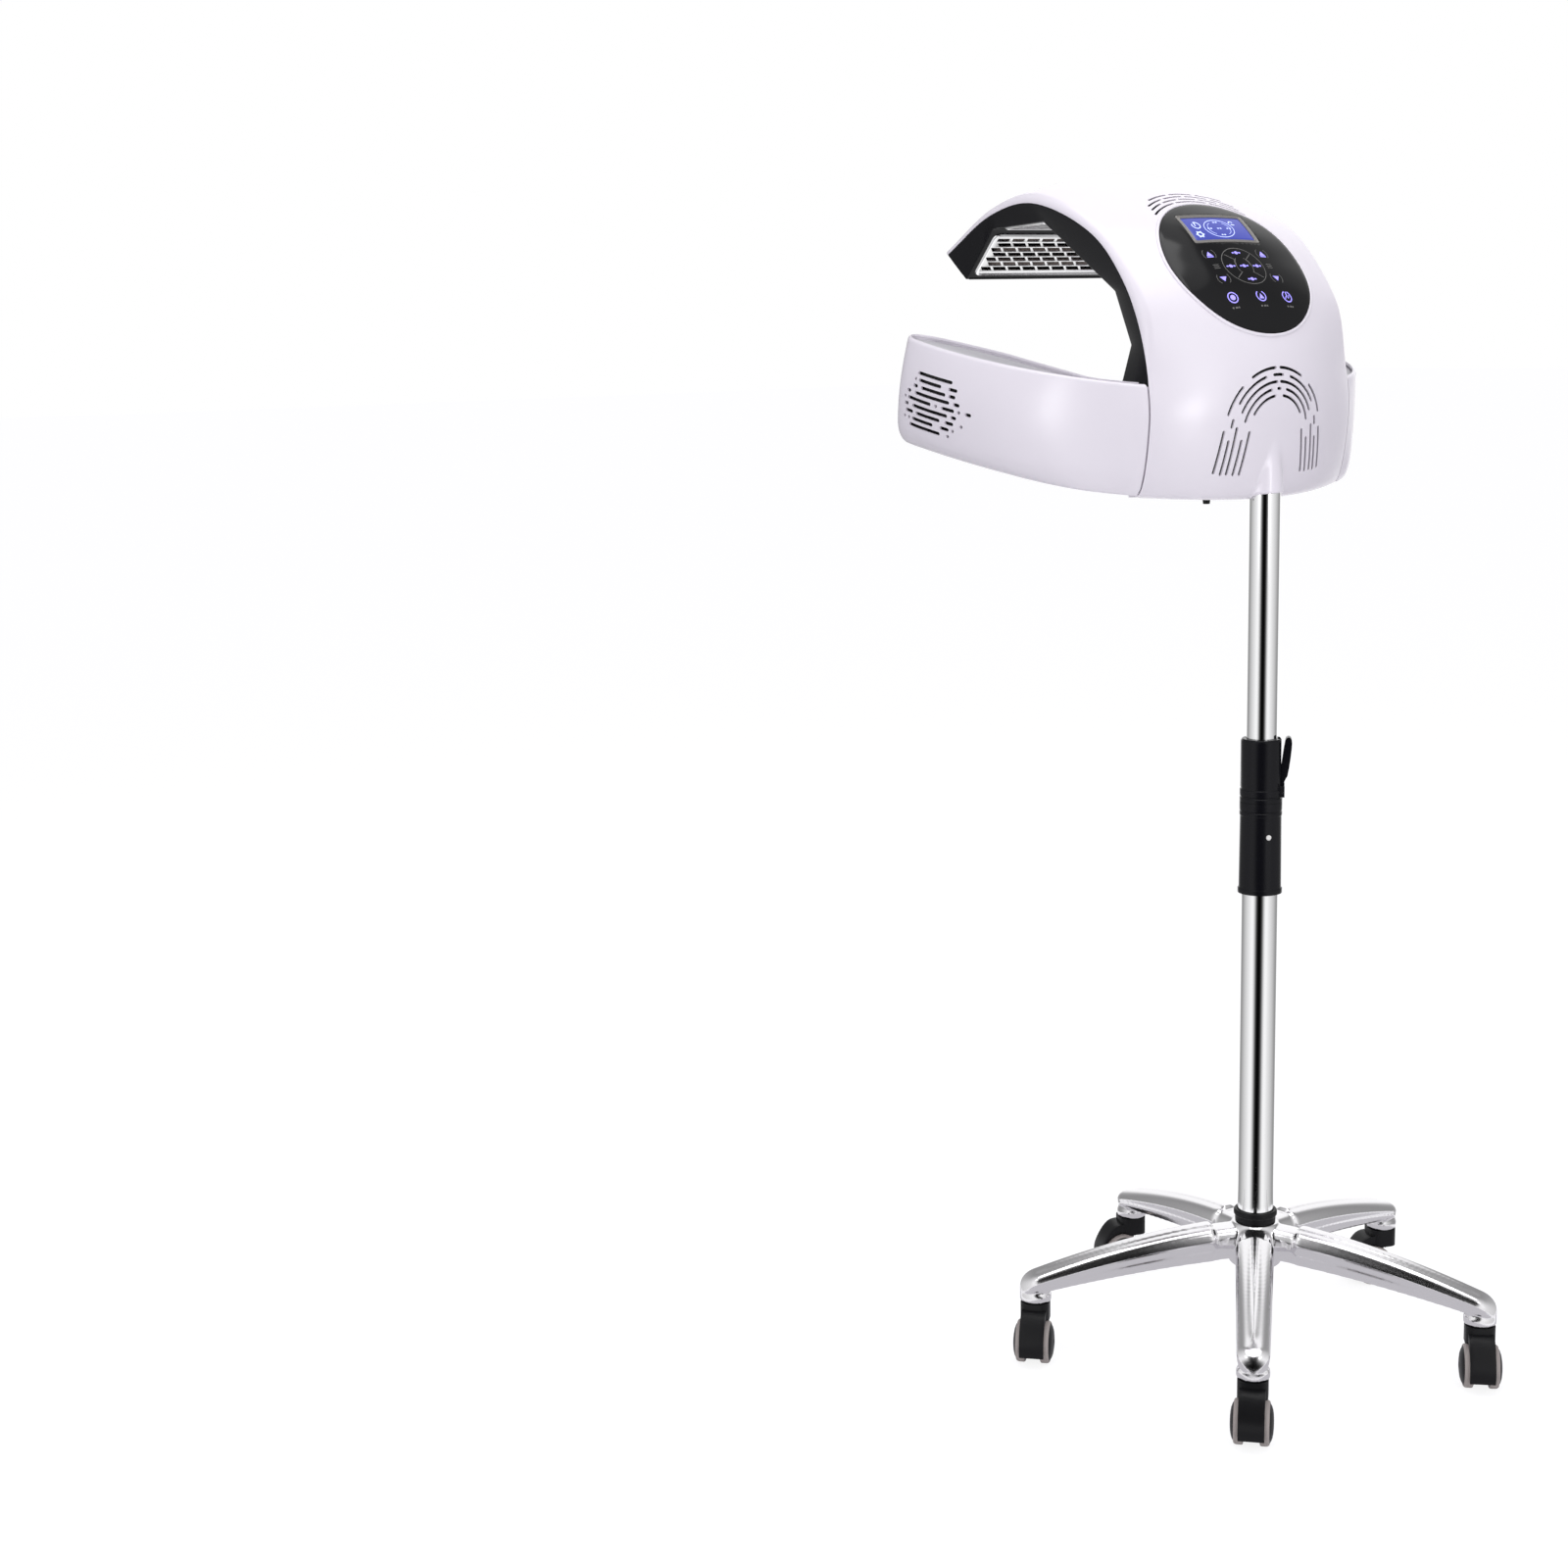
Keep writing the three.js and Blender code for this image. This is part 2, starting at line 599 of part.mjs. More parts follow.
// Short slots in rows around the panel's upper rim
function rimSlots() {
  const slots = [];
  for (let row = 0; row < 3; row++) {
    const radius = panelRadius + 11 + row * 8;
    const reach = 38 - row * 4;
    const count = 5 - row;
    for (let i = 0; i < count; i++) {
      const middle = 90 - reach + ((2 * reach) / (count - 1)) * i;
      const half = reach / count - 2.2;
      const outline = [];
      for (const [r, angles] of [[radius - 1.5, [-half, half]], [radius + 1.5, [half, -half]]]) {
        for (const a of angles) outline.push(onCircle(r, middle + a));
      }
      slots.push(prism(outline, -40, 30).applyMatrix4(panelFrame));
    }
  }
  return slots;
}

function mastFairing() {
  const outer = turned([
    [0, headBase + 1], [fairingRadius, headBase + 1], [fairingTopRadius, headBase + fairingHeight],
    [0, headBase + fairingHeight],
  ]);
  const inside = box(-40, 40, -2, 40, headBase - 5, headBase + fairingHeight + 5);
  return cut(outer, inside);
}

const mastHoleRadius = upperRadius + 2 * fitGap;
const mastHole = rod(mastHoleRadius, headBase - 20, headBase + fairingHeight + 4, 0, 0, sides);
const panelHole = rod(panelRadius + fitGap, -40, 40, 0, 0, panelFacets).applyMatrix4(panelFrame);
addMesh('dome_shell', cut(
  join(domeSkin(), mastFairing()), mastHole, panelHole, ...archSlots(), ...rimSlots(),
), 'white');

// Black liner: a channel under the skin with three heater windows
const linerTopHalf = seamHalf - 0.2;
function linerRing(s) {
  const edge = edgeAt(s);
  const foot = linerAt(s);
  const intoEdge = edge.clone().sub(crownAt(s)).normalize();
  const wallRoom = 1.3 * shellWall * (1 - shoulderShare(s));
  const top = edge.clone().addScaledVector(intoEdge, fitGap + 0.2 + wallRoom);
  const back = crownAt(s).sub(foot).normalize();
  const inner = foot.clone().addScaledVector(back, shellWall);
  const at = (p, x) => p.clone().setX(x);
  return [
    at(top, -linerTopHalf), at(foot, -linerHalf), at(foot, linerHalf), at(top, linerTopHalf),
    at(top, linerTopHalf - shellWall), at(inner, linerHalf - shellWall),
    at(inner, shellWall - linerHalf), at(top, shellWall - linerTopHalf),
  ];
}

// Front wall as a strip of sections across the head, from the facet's edge up to the skin
function linerFront() {
  const shoulder = seamHalf - shoulderRadius - 1;
  const last = linerTopHalf - shellWall - fitGap;
  const half = [0, 0.2, 0.4, 0.6, 0.8, 1].map((share) => share * shoulder);
  const xs = [-last, ...half.slice(1).reverse().map((x) => -x), ...half, last];
  const topAt = (s, x) => {
    const edge = edgeAt(s).addScaledVector(edgeAt(s).sub(crownAt(s)).normalize(), 2 * fitGap);
    if (Math.abs(x) > shoulder) return edge.setX(x);
    return skinAt(s, x).addScaledVector(skinNormal(s, x), -shellWall - 2 * fitGap).setX(x);
  };
  const footAt = (s, x) => {
    const rise = Math.max(0, (Math.abs(x) - linerHalf) / (linerTopHalf - linerHalf));
    return linerAt(s).lerp(edgeAt(s), rise).setX(x);
  };
  const [front, back] = [lastSpan, lastSpan - 0.04];
  return skinned(xs.map((x) => [footAt(front, x), topAt(front, x), topAt(back, x), footAt(back, x)]), ['y', 'z']);
}

// Flat frames on the liner's facets: x across, y along the facet, z towards the skin
const facetNames = ['rear', 'top', 'front'];
function facetFrame(name) {
  const first = linerCorners.length - 1 - facetNames.length + facetNames.indexOf(name);
  const ends = linerCorners.slice(first, first + 2);
  const [from, to] = ends.map(([, y, z]) => V3(0, y, headBase + z));
  const along = to.clone().sub(from).normalize();
  const middle = to.clone().add(from).multiplyScalar(0.5);
  const frame = new THREE.Matrix4().makeBasis(V3(1, 0, 0), along, V3(1, 0, 0).cross(along)).setPosition(middle);
  return { frame, length: to.distanceTo(from) };
}

const wingFrame = new THREE.Matrix4().makeRotationX(radians(wingTilt));
const seamFoot = edgeAt(3);
const wingOrigin = seamFoot.z - seamFoot.y * Math.tan(radians(wingTilt));
wingFrame.setPosition(0, 0, wingOrigin);
const rootX = seamHalf + seamGap;
const hingeX = rootX + hingeSetback;
const hingeRadius = hingePinDiameter / 2;
const earRadius = hingeRadius + 1.2;
const earSpans = [[hingeFoot, hingeFoot + earHeight], [hingeTop - earHeight, hingeTop]];

function hingeEar(side, [low, high]) {
  const half = earRadius - 0.8;
  const arm = box(-hingeX, -linerTopHalf + 3, hingeY - half, hingeY + half, low, high);
  const round = rod(earRadius, low, high, -hingeX, hingeY);
  const hole = rod(hingeRadius + fitGap, low - 1, high + 1, -hingeX, hingeY);
  const ear = cut(join(arm, round), hole);
  return side > 0 ? flipped(ear) : ear;
}

// Mirror across the middle plane, faces kept outward
function flipped(geometry) {
  return outward(mergeVertices(geometry.clone().scale(-1, 1, 1), 1e-4));
}

const grilleHalf = linerHalf - grilleMargin;
function domeLiner() {
  const stations = Array.from({ length: stationCount + 1 }, (_, i) => i / stationsPerSpan)
    .filter((s) => s >= linerCorners[0][0] - 1e-9);
  const channel = skinned(stations.map(linerRing), ['x', 'z']);
  const ears = [-1, 1].flatMap((side) => earSpans.map((span) => hingeEar(side, span)));
  const windows = facetNames.map((name) => {
    const { frame, length } = facetFrame(name);
    const half = length / 2 - grilleMargin;
    const outline = roundedBox(2 * grilleHalf + 2 * fitGap, 2 * half + 2 * fitGap, 9);
    return prism(outline, -8, shellWall + 2).applyMatrix4(frame);
  });
  return cut(join(channel, linerFront(), ...ears), ...windows);
}
addMesh('dome_liner', domeLiner(), 'black');

// Grille plates with slanted slots, and the finned emitters behind them
function grillePlateSolid(width, length, columns, rows) {
  const border = 7;
  const pitchX = (width - 2 * border) / columns;
  const pitchY = (length - 2 * border) / rows;
  const holes = [];
  for (let row = 0; row < rows; row++) {
    for (let column = 0; column < columns; column++) {
      const shift = row % 2 ? 0.25 : -0.25;
      const x = -width / 2 + border + pitchX * (column + 0.5 + shift * 0.6);
      const y = -length / 2 + border + pitchY * (row + 0.5);
      const [hx, hy] = [pitchX * 0.3, pitchY * 0.3];
      holes.push([[x - hx - 1, y - hy], [x + hx - 1, y - hy], [x + hx + 1, y + hy], [x - hx + 1, y + hy]]);
    }
  }
  const slots = holes.map((outline) => prism(outline, -1, grillePlate + 1));
  return cut(prism(roundedBox(width, length, 8.5), 0, grillePlate), ...slots);
}

function emitter(length, width) {
  const half = length / 2 - 6;
  const flange = length / 2 + heaterShift + 0.5;
  const skin = 2;
  const fin = heaterDepth - skin;
  const outline = [[-flange, 0], [-half, 0], [-half, fin]];
  for (let k = 0; k < 3; k++) {
    const middle = -half + (2 * half * (k + 0.5)) / 3;
    outline.push([middle - 4, fin], [middle - 3, fin - 4], [middle + 3, fin - 4], [middle + 4, fin]);
  }
  outline.push([half, fin], [half, 0], [flange, 0], [flange, skin], [half + skin, skin], [half + skin, heaterDepth]);
  outline.push([-half - skin, heaterDepth], [-half - skin, skin], [-flange, skin]);
  const profile = prism(outline, -width / 2, width / 2);
  const stand = new THREE.Matrix4().makeBasis(V3(0, 1, 0), V3(0, 0, 1), V3(1, 0, 0));
  return profile.applyMatrix4(stand);
}

for (const name of facetNames) {
  const { frame, length } = facetFrame(name);
  const grilleLength = length - 2 * grilleMargin;
  const rows = Math.max(3, Math.round(grilleLength / 22));
  addMesh(`grille_${name}`, grillePlateSolid(2 * grilleHalf, grilleLength, 6, rows).applyMatrix4(frame), 'chrome');
  const seat = new THREE.Matrix4().makeTranslation(0, -heaterShift, shellWall + fitGap);
  addMesh(`heater_${name}`, emitter(grilleLength, 2 * grilleHalf - 40).applyMatrix4(seat).applyMatrix4(frame), 'ceramic');
}

// Underside plate between the shell's rim and the liner's back wall
const rimSlope = (linerCorners[0][2] - crownPoints[0][1]) / (linerCorners[0][1] - crownPoints[0][0]);
function bottomCover() {
  const half = seamHalf - shellWall - 6;
  const back = linerCorners[0][1] - shellWall - 2 * fitGap;
  const ringAt = (lift) => {
    const points = [];
    for (const x of acrossHead().filter((across) => Math.abs(across) < half)) {
      points.push(V3(x, skinAt(0, x).y + 4 * fitGap, 0));
    }
    const inset = linerHalf - shellWall - 1;
    points.push(V3(inset, back, 0), V3(-inset, back, 0));
    for (const p of points) p.z = headBase + crownPoints[0][1] + (p.y - crownPoints[0][0]) * rimSlope + lift;
    return points;
  };
  const hole = rod(glandRadius + fitGap, headBase - 20, headBase + 30, glandX, glandY);
  return cut(skinned([ringAt(0), ringAt(shellWall)]), hole);
}
addMesh('bottom_cover', bottomCover(), 'white');
const glandSeat = headBase + crownPoints[0][1] + (glandY - crownPoints[0][0]) * rimSlope;
addMesh('cord_gland', turned([
  [0, -9], [glandRadius - 2.2, -9], [glandRadius - 1.4, -3.2], [glandRadius + 3, -3.2], [glandRadius + 3, -2.4],
  [glandRadius, -2.4], [glandRadius, shellWall + 4], [0, shellWall + 4],
], smallSides).translate(glandX, glandY, glandSeat), 'black');

// Bracket that carries the head on the mast's stub
const socketFoot = washerFoot + washerHeight + fitGap;
const socketTop = upperTubeTop + spigotHeight + 3;
const socketOuter = spigotRadius + 3.2;
function socketBracket() {
  const back = linerCorners[0][1] - shellWall - fitGap - 0.2;
  const barrel = rod(socketOuter, socketFoot, socketTop, 0, 0, sides);
  const arm = box(-34, 34, 4, back, socketFoot + 14, socketFoot + 22);
  const rib = box(-4, 4, 4, back, socketFoot + 6, socketFoot + 40);
  const plate = box(-42, 42, back - 5, back, socketFoot + 6, socketFoot + 46);
  const bore = rod(spigotRadius + fitGap, socketFoot - 1, upperTubeTop + spigotHeight + fitGap, 0, 0, sides);
  return cut(join(barrel, arm, rib, plate), bore);
}
addMesh('socket_bracket', socketBracket(), 'black');

// Control panel laid on the skin, its display and the board on four posts behind it
const lcdHole = prism(roundedBox(lcdWidth, lcdHeight, 3), -30, 30).translate(0, lcdCentre, 0);
const boardHalf = [52, 40];
function panelPosts() {
  return [[-1, -1], [1, -1], [1, 1], [-1, 1]].map(([sx, sy]) => {
    const x = sx * (boardHalf[0] - 6);
    const y = sy * (boardHalf[1] - 6) - 28;
    return rod(3.5, -boardDepth + fitGap, skinHeight(x, y) - 1, x, y, 12);
  });
}
const panelSkin = laid(disc(panelRadius, panelProud - panelThickness, panelProud));
addMesh('control_panel', join(cut(panelSkin, lcdHole), ...panelPosts()).applyMatrix4(panelFrame), 'gloss');

function subdivided(outline, most) {
  const points = [];
  outline.forEach(([x, y], i) => {
    const [nx, ny] = outline[(i + 1) % outline.length];
    const steps = Math.max(1, Math.ceil(Math.hypot(nx - x, ny - y) / most));
    for (let k = 0; k < steps; k++) points.push([x + ((nx - x) * k) / steps, y + ((ny - y) * k) / steps]);
  });
  return points;
}
const lcdOutline = (inset, radius) => subdivided(
  roundedBox(lcdWidth - 2 * inset, lcdHeight - 2 * inset, radius).map(([x, y]) => [x, y + lcdCentre]), 16,
);
const bezelHole = lcdOutline(lcdBorder, 2).reverse();
const bezel = prism(lcdOutline(fitGap, 3), panelProud - panelThickness, panelProud + 0.8, [bezelHole]);
addMesh('lcd_bezel', laid(bezel).applyMatrix4(panelFrame), 'black');
const glass = prism(lcdOutline(lcdBorder + fitGap, 2), panelProud - panelThickness, panelProud - 0.4);
addMesh('lcd_glass', laid(glass).applyMatrix4(panelFrame), 'screen');
const board = box(-boardHalf[0], boardHalf[0], -boardHalf[1] - 28, boardHalf[1] - 28, -boardDepth - 1.6, -boardDepth);
addMesh('control_board', board.applyMatrix4(panelFrame), 'board');

// Wings: each station pairs a point of the outer wall with one of the inner wall.
// Points are [across, forward] on the wing's top plane, from the seam and the mast axis.
const wingPairs = [
  [[0, 25], [0, 43]], [[25, 39], [18, 54]], [[54, 65], [38, 76]], [[81, 103], [42, 112]],
  [[102, 152], [46, 164]], [[116, 212], [50, 215]], [[120, 268], [62, 272]], [[114, 314], [76, 318]],
];
const wingTip = [95, 334];
const fullThickness = 65; // thickest part of the wing, where the bulge is whole
const tiltSlope = Math.tan(radians(wingTilt));
const tiltLean = Math.sin(radians(wingTilt));
const tiltDrop = Math.cos(radians(wingTilt));

// Outer and inner walls swell and tuck in with depth below the top face
function swell(depth) {
  const share = depth / wingHeight;
  const under = Math.max(0, Math.min(1, (depth - wingHeight + wingUnderRadius) / wingUnderRadius));
  return 4 * wingBulge * share * (1 - share) - wingUnderRadius * (1 - Math.sqrt(1 - under ** 2));
}

// Forward place of the dome's edge at a height below the seam's corner
function edgeForward(z) {
  let low = 1;
  let high = cornerSpan;
  for (let i = 0; i < 30; i++) {
    const middle = (low + high) / 2;
    if (edgeAt(middle).z < z) low = middle;
    else high = middle;
  }
  return edgeAt(low).y;
}

// One outline of the wing at a depth below its top face. The root follows the dome's edge,
// and from the fourth station on the wing hangs square to its tilted top.
function wingLoop(depth, inset) {
  const place = (x, y, lean) => {
    const z = wingOrigin + y * tiltSlope - depth * tiltDrop;
    return V3(-seamHalf - x, y + depth * tiltLean * lean, z);
  };
  const outer = [];
  const inner = [];
  wingPairs.forEach(([[ox, oy], [ix, iy]], station) => {
    const lean = Math.min(1, station / 3);
    const away = new THREE.Vector2(ox - ix, oy - iy);
    const share = Math.min(1, away.length() / fullThickness);
    away.normalize();
    const out = swell(depth) * share - inset;
    const tuck = 0.2 * Math.min(0, swell(depth)) * share - inset;
    outer.push(place(ox + away.x * out, oy + away.y * out, lean));
    inner.push(place(ix - away.x * tuck, iy - away.y * tuck, Math.max(lean, 0.3)));
  });
  const rootHeight = outer[0].z;
  const slope = (wingPairs[1][0][1] - wingPairs[0][0][1]) / wingPairs[1][0][0];
  outer[0].x = -seamHalf;
  outer[0].y = edgeForward(rootHeight) + 1.15 * inset;
  const beyond = 12;
  outer.unshift(V3(beyond - seamHalf, outer[0].y - beyond * slope, rootHeight));
  inner.unshift(V3(beyond - seamHalf, inner[0].y - beyond * slope, inner[0].z));
  const lead = Math.min(0, swell(depth)) * 0.5 - inset;
  const tip = place(wingTip[0] + 0.2 * lead, wingTip[1] + lead, 1);
  const loop = new THREE.CatmullRomCurve3([...outer, tip, ...inner.reverse()], true, 'centripetal');
  const pointsPerSpan = 2;
  return loop.getPoints(pointsPerSpan * loop.points.length).slice(0, -1);
}

const wingDepths = [0, 0.25, 0.5, 0.75, 0.88, 0.96, 1].map((share) => share * wingHeight);
const wingFloor = wingHeight - shellWall;

// Frame on the straight inner wall: x along the wing, y up, z into the wing
const [, inner3] = wingPairs[3];
const [, inner5] = wingPairs[5];
const wallAlong = V3(-(inner5[0] - inner3[0]), (inner5[1] - inner3[1]) / tiltDrop, 0).normalize();
const wallMiddle = V3(-seamHalf - (inner3[0] + inner5[0]) / 2, (inner3[1] + inner5[1]) / 2 / tiltDrop, -wingHeight * 0.46);
const wallFrame = new THREE.Matrix4().makeBasis(
  wallAlong, V3(0, 0, 1), wallAlong.clone().cross(V3(0, 0, 1)),
).setPosition(wallMiddle);
const wallDirection = V3().setFromMatrixColumn(wallFrame, 2).x < 0 ? 1 : -1;
const wingGrilleLength = 100;
const wingGrilleHeight = 76;

function wingVents() {
  const cutters = [];
  const breaks = [0.55, 0.28, 0.72, 0.4, 0.62, 0.35, 0.7, 0.3, 0.55];
  for (let row = 0; row < wingVentRows; row++) {
    const off = row - (wingVentRows - 1) / 2;
    const half = 42 - 4.2 * Math.abs(off);
    const from = wingVentReach - half + (row % 2 ? 4 : 0);
    const to = wingVentReach + half;
    const split = from + (to - from) * breaks[row % breaks.length];
    const depth = wingHeight * 0.5 + off * wingVentPitch;
    for (const [a, b] of [[from, split - 2], [split + 2, to]]) {
      const slot = box(-seamHalf - 160, -seamHalf - 92, a, b, -depth - ventWidth / 2, -depth + ventWidth / 2);
      cutters.push(slot.applyMatrix4(wingFrame));
    }
  }
  return cutters;
}

function wingShell() {
  const body = skinned(wingDepths.map((depth) => wingLoop(depth, 0)));
  const hollowDepths = wingDepths.filter((depth) => depth < wingFloor - 1);
  const above = wingLoop(0, shellWall).map((p) => V3(p.x, p.y, p.z + 1));
  const hollow = skinned([above, ...[...hollowDepths.slice(1), wingFloor].map((depth) => wingLoop(depth, shellWall))]);
  const root = box(-rootX, 0, -50, 120, headBase - 100, headBase + 300);
  const outline = roundedBox(wingGrilleLength + 2 * fitGap, wingGrilleHeight + 2 * fitGap, 6);
  const window = prism(outline, -12, 12).applyMatrix4(wallFrame).applyMatrix4(wingFrame);
  const [knuckleFoot, knuckleTop] = [hingeFoot + earHeight + fitGap, hingeTop - earHeight - fitGap];
  const knuckle = rod(earRadius, knuckleFoot, knuckleTop, -hingeX, hingeY);
  const web = box(-hingeX - 14, -hingeX, hingeY - 5, hingeY + 2, knuckleFoot, knuckleTop);
  const pinHole = rod(hingeRadius + fitGap, hingeFoot - 5, hingeTop + 5, -hingeX, hingeY);
  const held = common(join(knuckle, web), skinned(wingDepths.map((depth) => wingLoop(depth, shellWall / 2))));
  const tub = cut(body, hollow, window, ...wingVents());
  return cut(join(tub, held), root, pinHole);
}

function wingCap() {
  const seat = (depth) => wingLoop(depth, shellWall + fitGap);
  const root = box(-rootX, 0, -50, 120, headBase, headBase + 300);
  return cut(skinned([seat(0.6), seat(0.6 + capThickness)]), root);
}

const wingPieces = {
  wing_shell: [wingShell(), 'white'],
  wing_cap: [wingCap(), 'grey'],
  wing_grille: [grillePlateSolid(wingGrilleLength, wingGrilleHeight, 4, 5), 'chrome'],
  wing_heater: [emitter(wingGrilleHeight, wingGrilleLength - 14), 'ceramic'],
  hinge_pin: [rod(hingeRadius, hingeFoot - 2, hingeTop + 2, -hingeX, hingeY), 'steel'],
};
const wallTurn = new THREE.Matrix4().makeScale(1, wallDirection, wallDirection);
wingPieces.wing_grille[0].applyMatrix4(wallTurn).applyMatrix4(wallFrame).applyMatrix4(wingFrame);
const heaterSeat = new THREE.Matrix4().makeTranslation(0, 0, shellWall + fitGap);
wingPieces.wing_heater[0].applyMatrix4(heaterSeat).applyMatrix4(wallTurn).applyMatrix4(wallFrame).applyMatrix4(wingFrame);
for (const [name, [geometry, finish]] of Object.entries(wingPieces)) {
  addMesh(`${name}_l`, geometry, finish);
  addMesh(`${name}_r`, flipped(geometry), finish);
}

// Casters: a hood with stem and axle, and two wheels each; the trail runs along +X here
const wheelRadius = wheelDiameter / 2;
function casterHood() {
  const inner = wheelRadius + 1.6;
  const outer = inner + hoodWall;
  const arc = [];
  const back = [];
  const steps = 5;
  for (let i = 0; i <= steps; i++) {
    const angle = radians(-22 + (150 * i) / steps);
    arc.push([casterTrail + outer * Math.cos(angle), wheelRadius + outer * Math.sin(angle)]);
    back.push([casterTrail + inner * Math.cos(angle), wheelRadius + inner * Math.sin(angle)]);
  }
  const cover = prism([...arc, ...back.reverse()], -hoodWidth / 2, hoodWidth / 2).rotateX(Math.PI / 2);
  const core = [...arc, [casterTrail - 14, wheelRadius - 6], [casterTrail + 8, wheelRadius - 14]];
  const webHalf = wheelSpread - 0.6;
  const web = prism(core, -webHalf, webHalf).rotateX(Math.PI / 2);
  const neckTop = legTipBottom - fitGap;
  const neck = box(-13, 14, -13.5, 13.5, wheelDiameter + 0.5, neckTop);
  const reach = wheelSpread + wheelWidth - 2;
  const axle = rod(axleDiameter / 2, -reach, reach).rotateX(Math.PI / 2);
  const stem = rod(stemDiameter / 2, wheelDiameter + 4, legTipBottom + stemDepth);
  return join(cover, web, neck, axle.translate(casterTrail, 0, wheelRadius), stem);
}

function casterWheel(side) {
  const bore = axleDiameter / 2 + fitGap;
  const [near, far] = [wheelSpread, wheelSpread + wheelWidth];
  const wheel = turned([
    [bore, near], [wheelRadius - 2, near], [wheelRadius, near + 3], [wheelRadius, far - 4],
    [wheelRadius - 4, far], [bore, far], [bore, near],
  ], 14);
  return wheel.rotateX(side * Math.PI / 2).translate(casterTrail, 0, wheelRadius);
}

for (let k = 0; k < legCount; k++) {
  const caster = new THREE.Group();
  const [x, y] = onCircle(stemCircle, legTurn + (360 / legCount) * k);
  caster.position.set(x, y, 0);
  caster.rotation.z = radians(casterTurns[k] - cameraTurn);
  model.add(caster);
  addMesh(`caster_${k + 1}_hood`, casterHood(), 'black', caster);
  addMesh(`caster_${k + 1}_wheel_a`, casterWheel(1), 'tyre', caster);
  addMesh(`caster_${k + 1}_wheel_b`, casterWheel(-1), 'tyre', caster);
}

export default model;
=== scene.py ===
# %% [markdown]
# # Hair color processor
# A salon warmer: a white hood with two wings on a telescopic stand with five casters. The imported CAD
# model is loaded first as a fixed frame. Each visible solid then gets a finer piece in the same place,
# which moves with the same body. Sizes are written in millimetres, as on a drawing.

# %% Load the frame
import math

import bpy
from mathutils import Matrix, Vector


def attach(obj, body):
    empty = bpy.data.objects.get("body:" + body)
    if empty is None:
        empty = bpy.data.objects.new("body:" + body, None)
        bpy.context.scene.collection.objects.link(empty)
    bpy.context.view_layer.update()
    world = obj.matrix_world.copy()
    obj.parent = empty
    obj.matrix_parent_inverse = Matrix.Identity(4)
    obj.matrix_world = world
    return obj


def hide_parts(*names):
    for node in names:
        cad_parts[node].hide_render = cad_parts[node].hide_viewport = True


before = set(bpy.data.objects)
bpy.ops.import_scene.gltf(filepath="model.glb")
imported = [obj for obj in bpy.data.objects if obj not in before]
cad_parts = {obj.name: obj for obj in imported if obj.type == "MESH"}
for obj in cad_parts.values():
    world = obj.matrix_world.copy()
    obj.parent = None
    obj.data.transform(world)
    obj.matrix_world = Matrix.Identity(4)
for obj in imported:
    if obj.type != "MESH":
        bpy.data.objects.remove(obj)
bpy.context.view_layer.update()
MM = 0.001
MERGE = 2e-6

# %% [markdown]
# ## A few habits of the workbench
# An operator acts on all that is selected, so every step starts by selecting one piece alone. These
# helpers do that, apply modifiers at once, and shade a piece smooth up to an angle.

# %% Selecting, editing and applying
def select_only(*pieces):
    bpy.ops.object.select_all(action="DESELECT")
    for piece in pieces:
        piece.select_set(True)
    bpy.context.view_layer.objects.active = pieces[0]


def edit(piece, work):
    select_only(piece)
    bpy.ops.object.mode_set(mode="EDIT")
    bpy.ops.mesh.select_all(action="SELECT")
    work()
    bpy.ops.object.mode_set(mode="OBJECT")


def cleaned(piece):
    def work():
        bpy.ops.mesh.remove_doubles(threshold=MERGE)
        bpy.ops.mesh.delete_loose()
        bpy.ops.mesh.select_all(action="SELECT")
        bpy.ops.mesh.normals_make_consistent(inside=False)
    edit(piece, work)
    return piece


def modify(piece, kind, **values):
    modifier = piece.modifiers.new(kind, kind)
    for key, value in values.items():
        setattr(modifier, key, value)
    select_only(piece)
    bpy.ops.object.modifier_apply(modifier=modifier.name)
    return piece


def walled(piece, thickness, even=False):
    """Gives a sheet its wall, on the side that its faces look away from"""
    return modify(piece, "SOLIDIFY", thickness=thickness * MM, offset=-1, use_even_offset=even)


def rounded(piece, width, segments=3, degrees=35):
    return modify(
        piece, "BEVEL", width=width * MM, segments=segments,
        limit_method="ANGLE", angle_limit=math.radians(degrees),
    )


def smooth(piece, degrees=35):
    select_only(piece)
    bpy.ops.object.shade_smooth_by_angle(angle=math.radians(degrees))
    return piece


def cut(piece, cutter, operation="DIFFERENCE", solver="EXACT"):
    modify(piece, "BOOLEAN", object=cutter, operation=operation, solver=solver)
    bpy.data.objects.remove(cutter)
    return piece


# %% [markdown]
# ## Three ways to start a piece
# A moulded skin starts as a grid whose points are laid on the drawing's curves. A turned piece starts as
# a ring of points in the shape of its half section, which is spun round the axis. A flat piece starts as
# a filled ring of points, which is extruded.

# %% Grid, spin and extrude
def added(name):
    """Names the piece that an operator has just added"""
    piece = bpy.context.object
    piece.name = piece.data.name = name
    return piece


def sheet(name, rows, columns, place):
    bpy.ops.mesh.primitive_grid_add(x_subdivisions=columns, y_subdivisions=rows, size=1)
    piece = added(name)
    for vertex in piece.data.vertices:
        row = round((vertex.co.y + 0.5) * rows)
        column = round((vertex.co.x + 0.5) * columns)
        vertex.co = Vector(place(row, column)) * MM
    return piece


def facing(piece, direction):
    """Turns an open sheet over where its middle face looks away from a direction"""
    faces = piece.data.polygons
    if faces[len(faces) // 2].normal.dot(Vector(direction)) < 0:
        piece.data.flip_normals()
    return piece


def ring_of_points(name, points, fill="NOTHING"):
    bpy.ops.mesh.primitive_circle_add(vertices=len(points), radius=1, fill_type=fill)
    piece = added(name)
    for vertex, point in zip(piece.data.vertices, points):
        vertex.co = Vector(point) * MM
    return piece


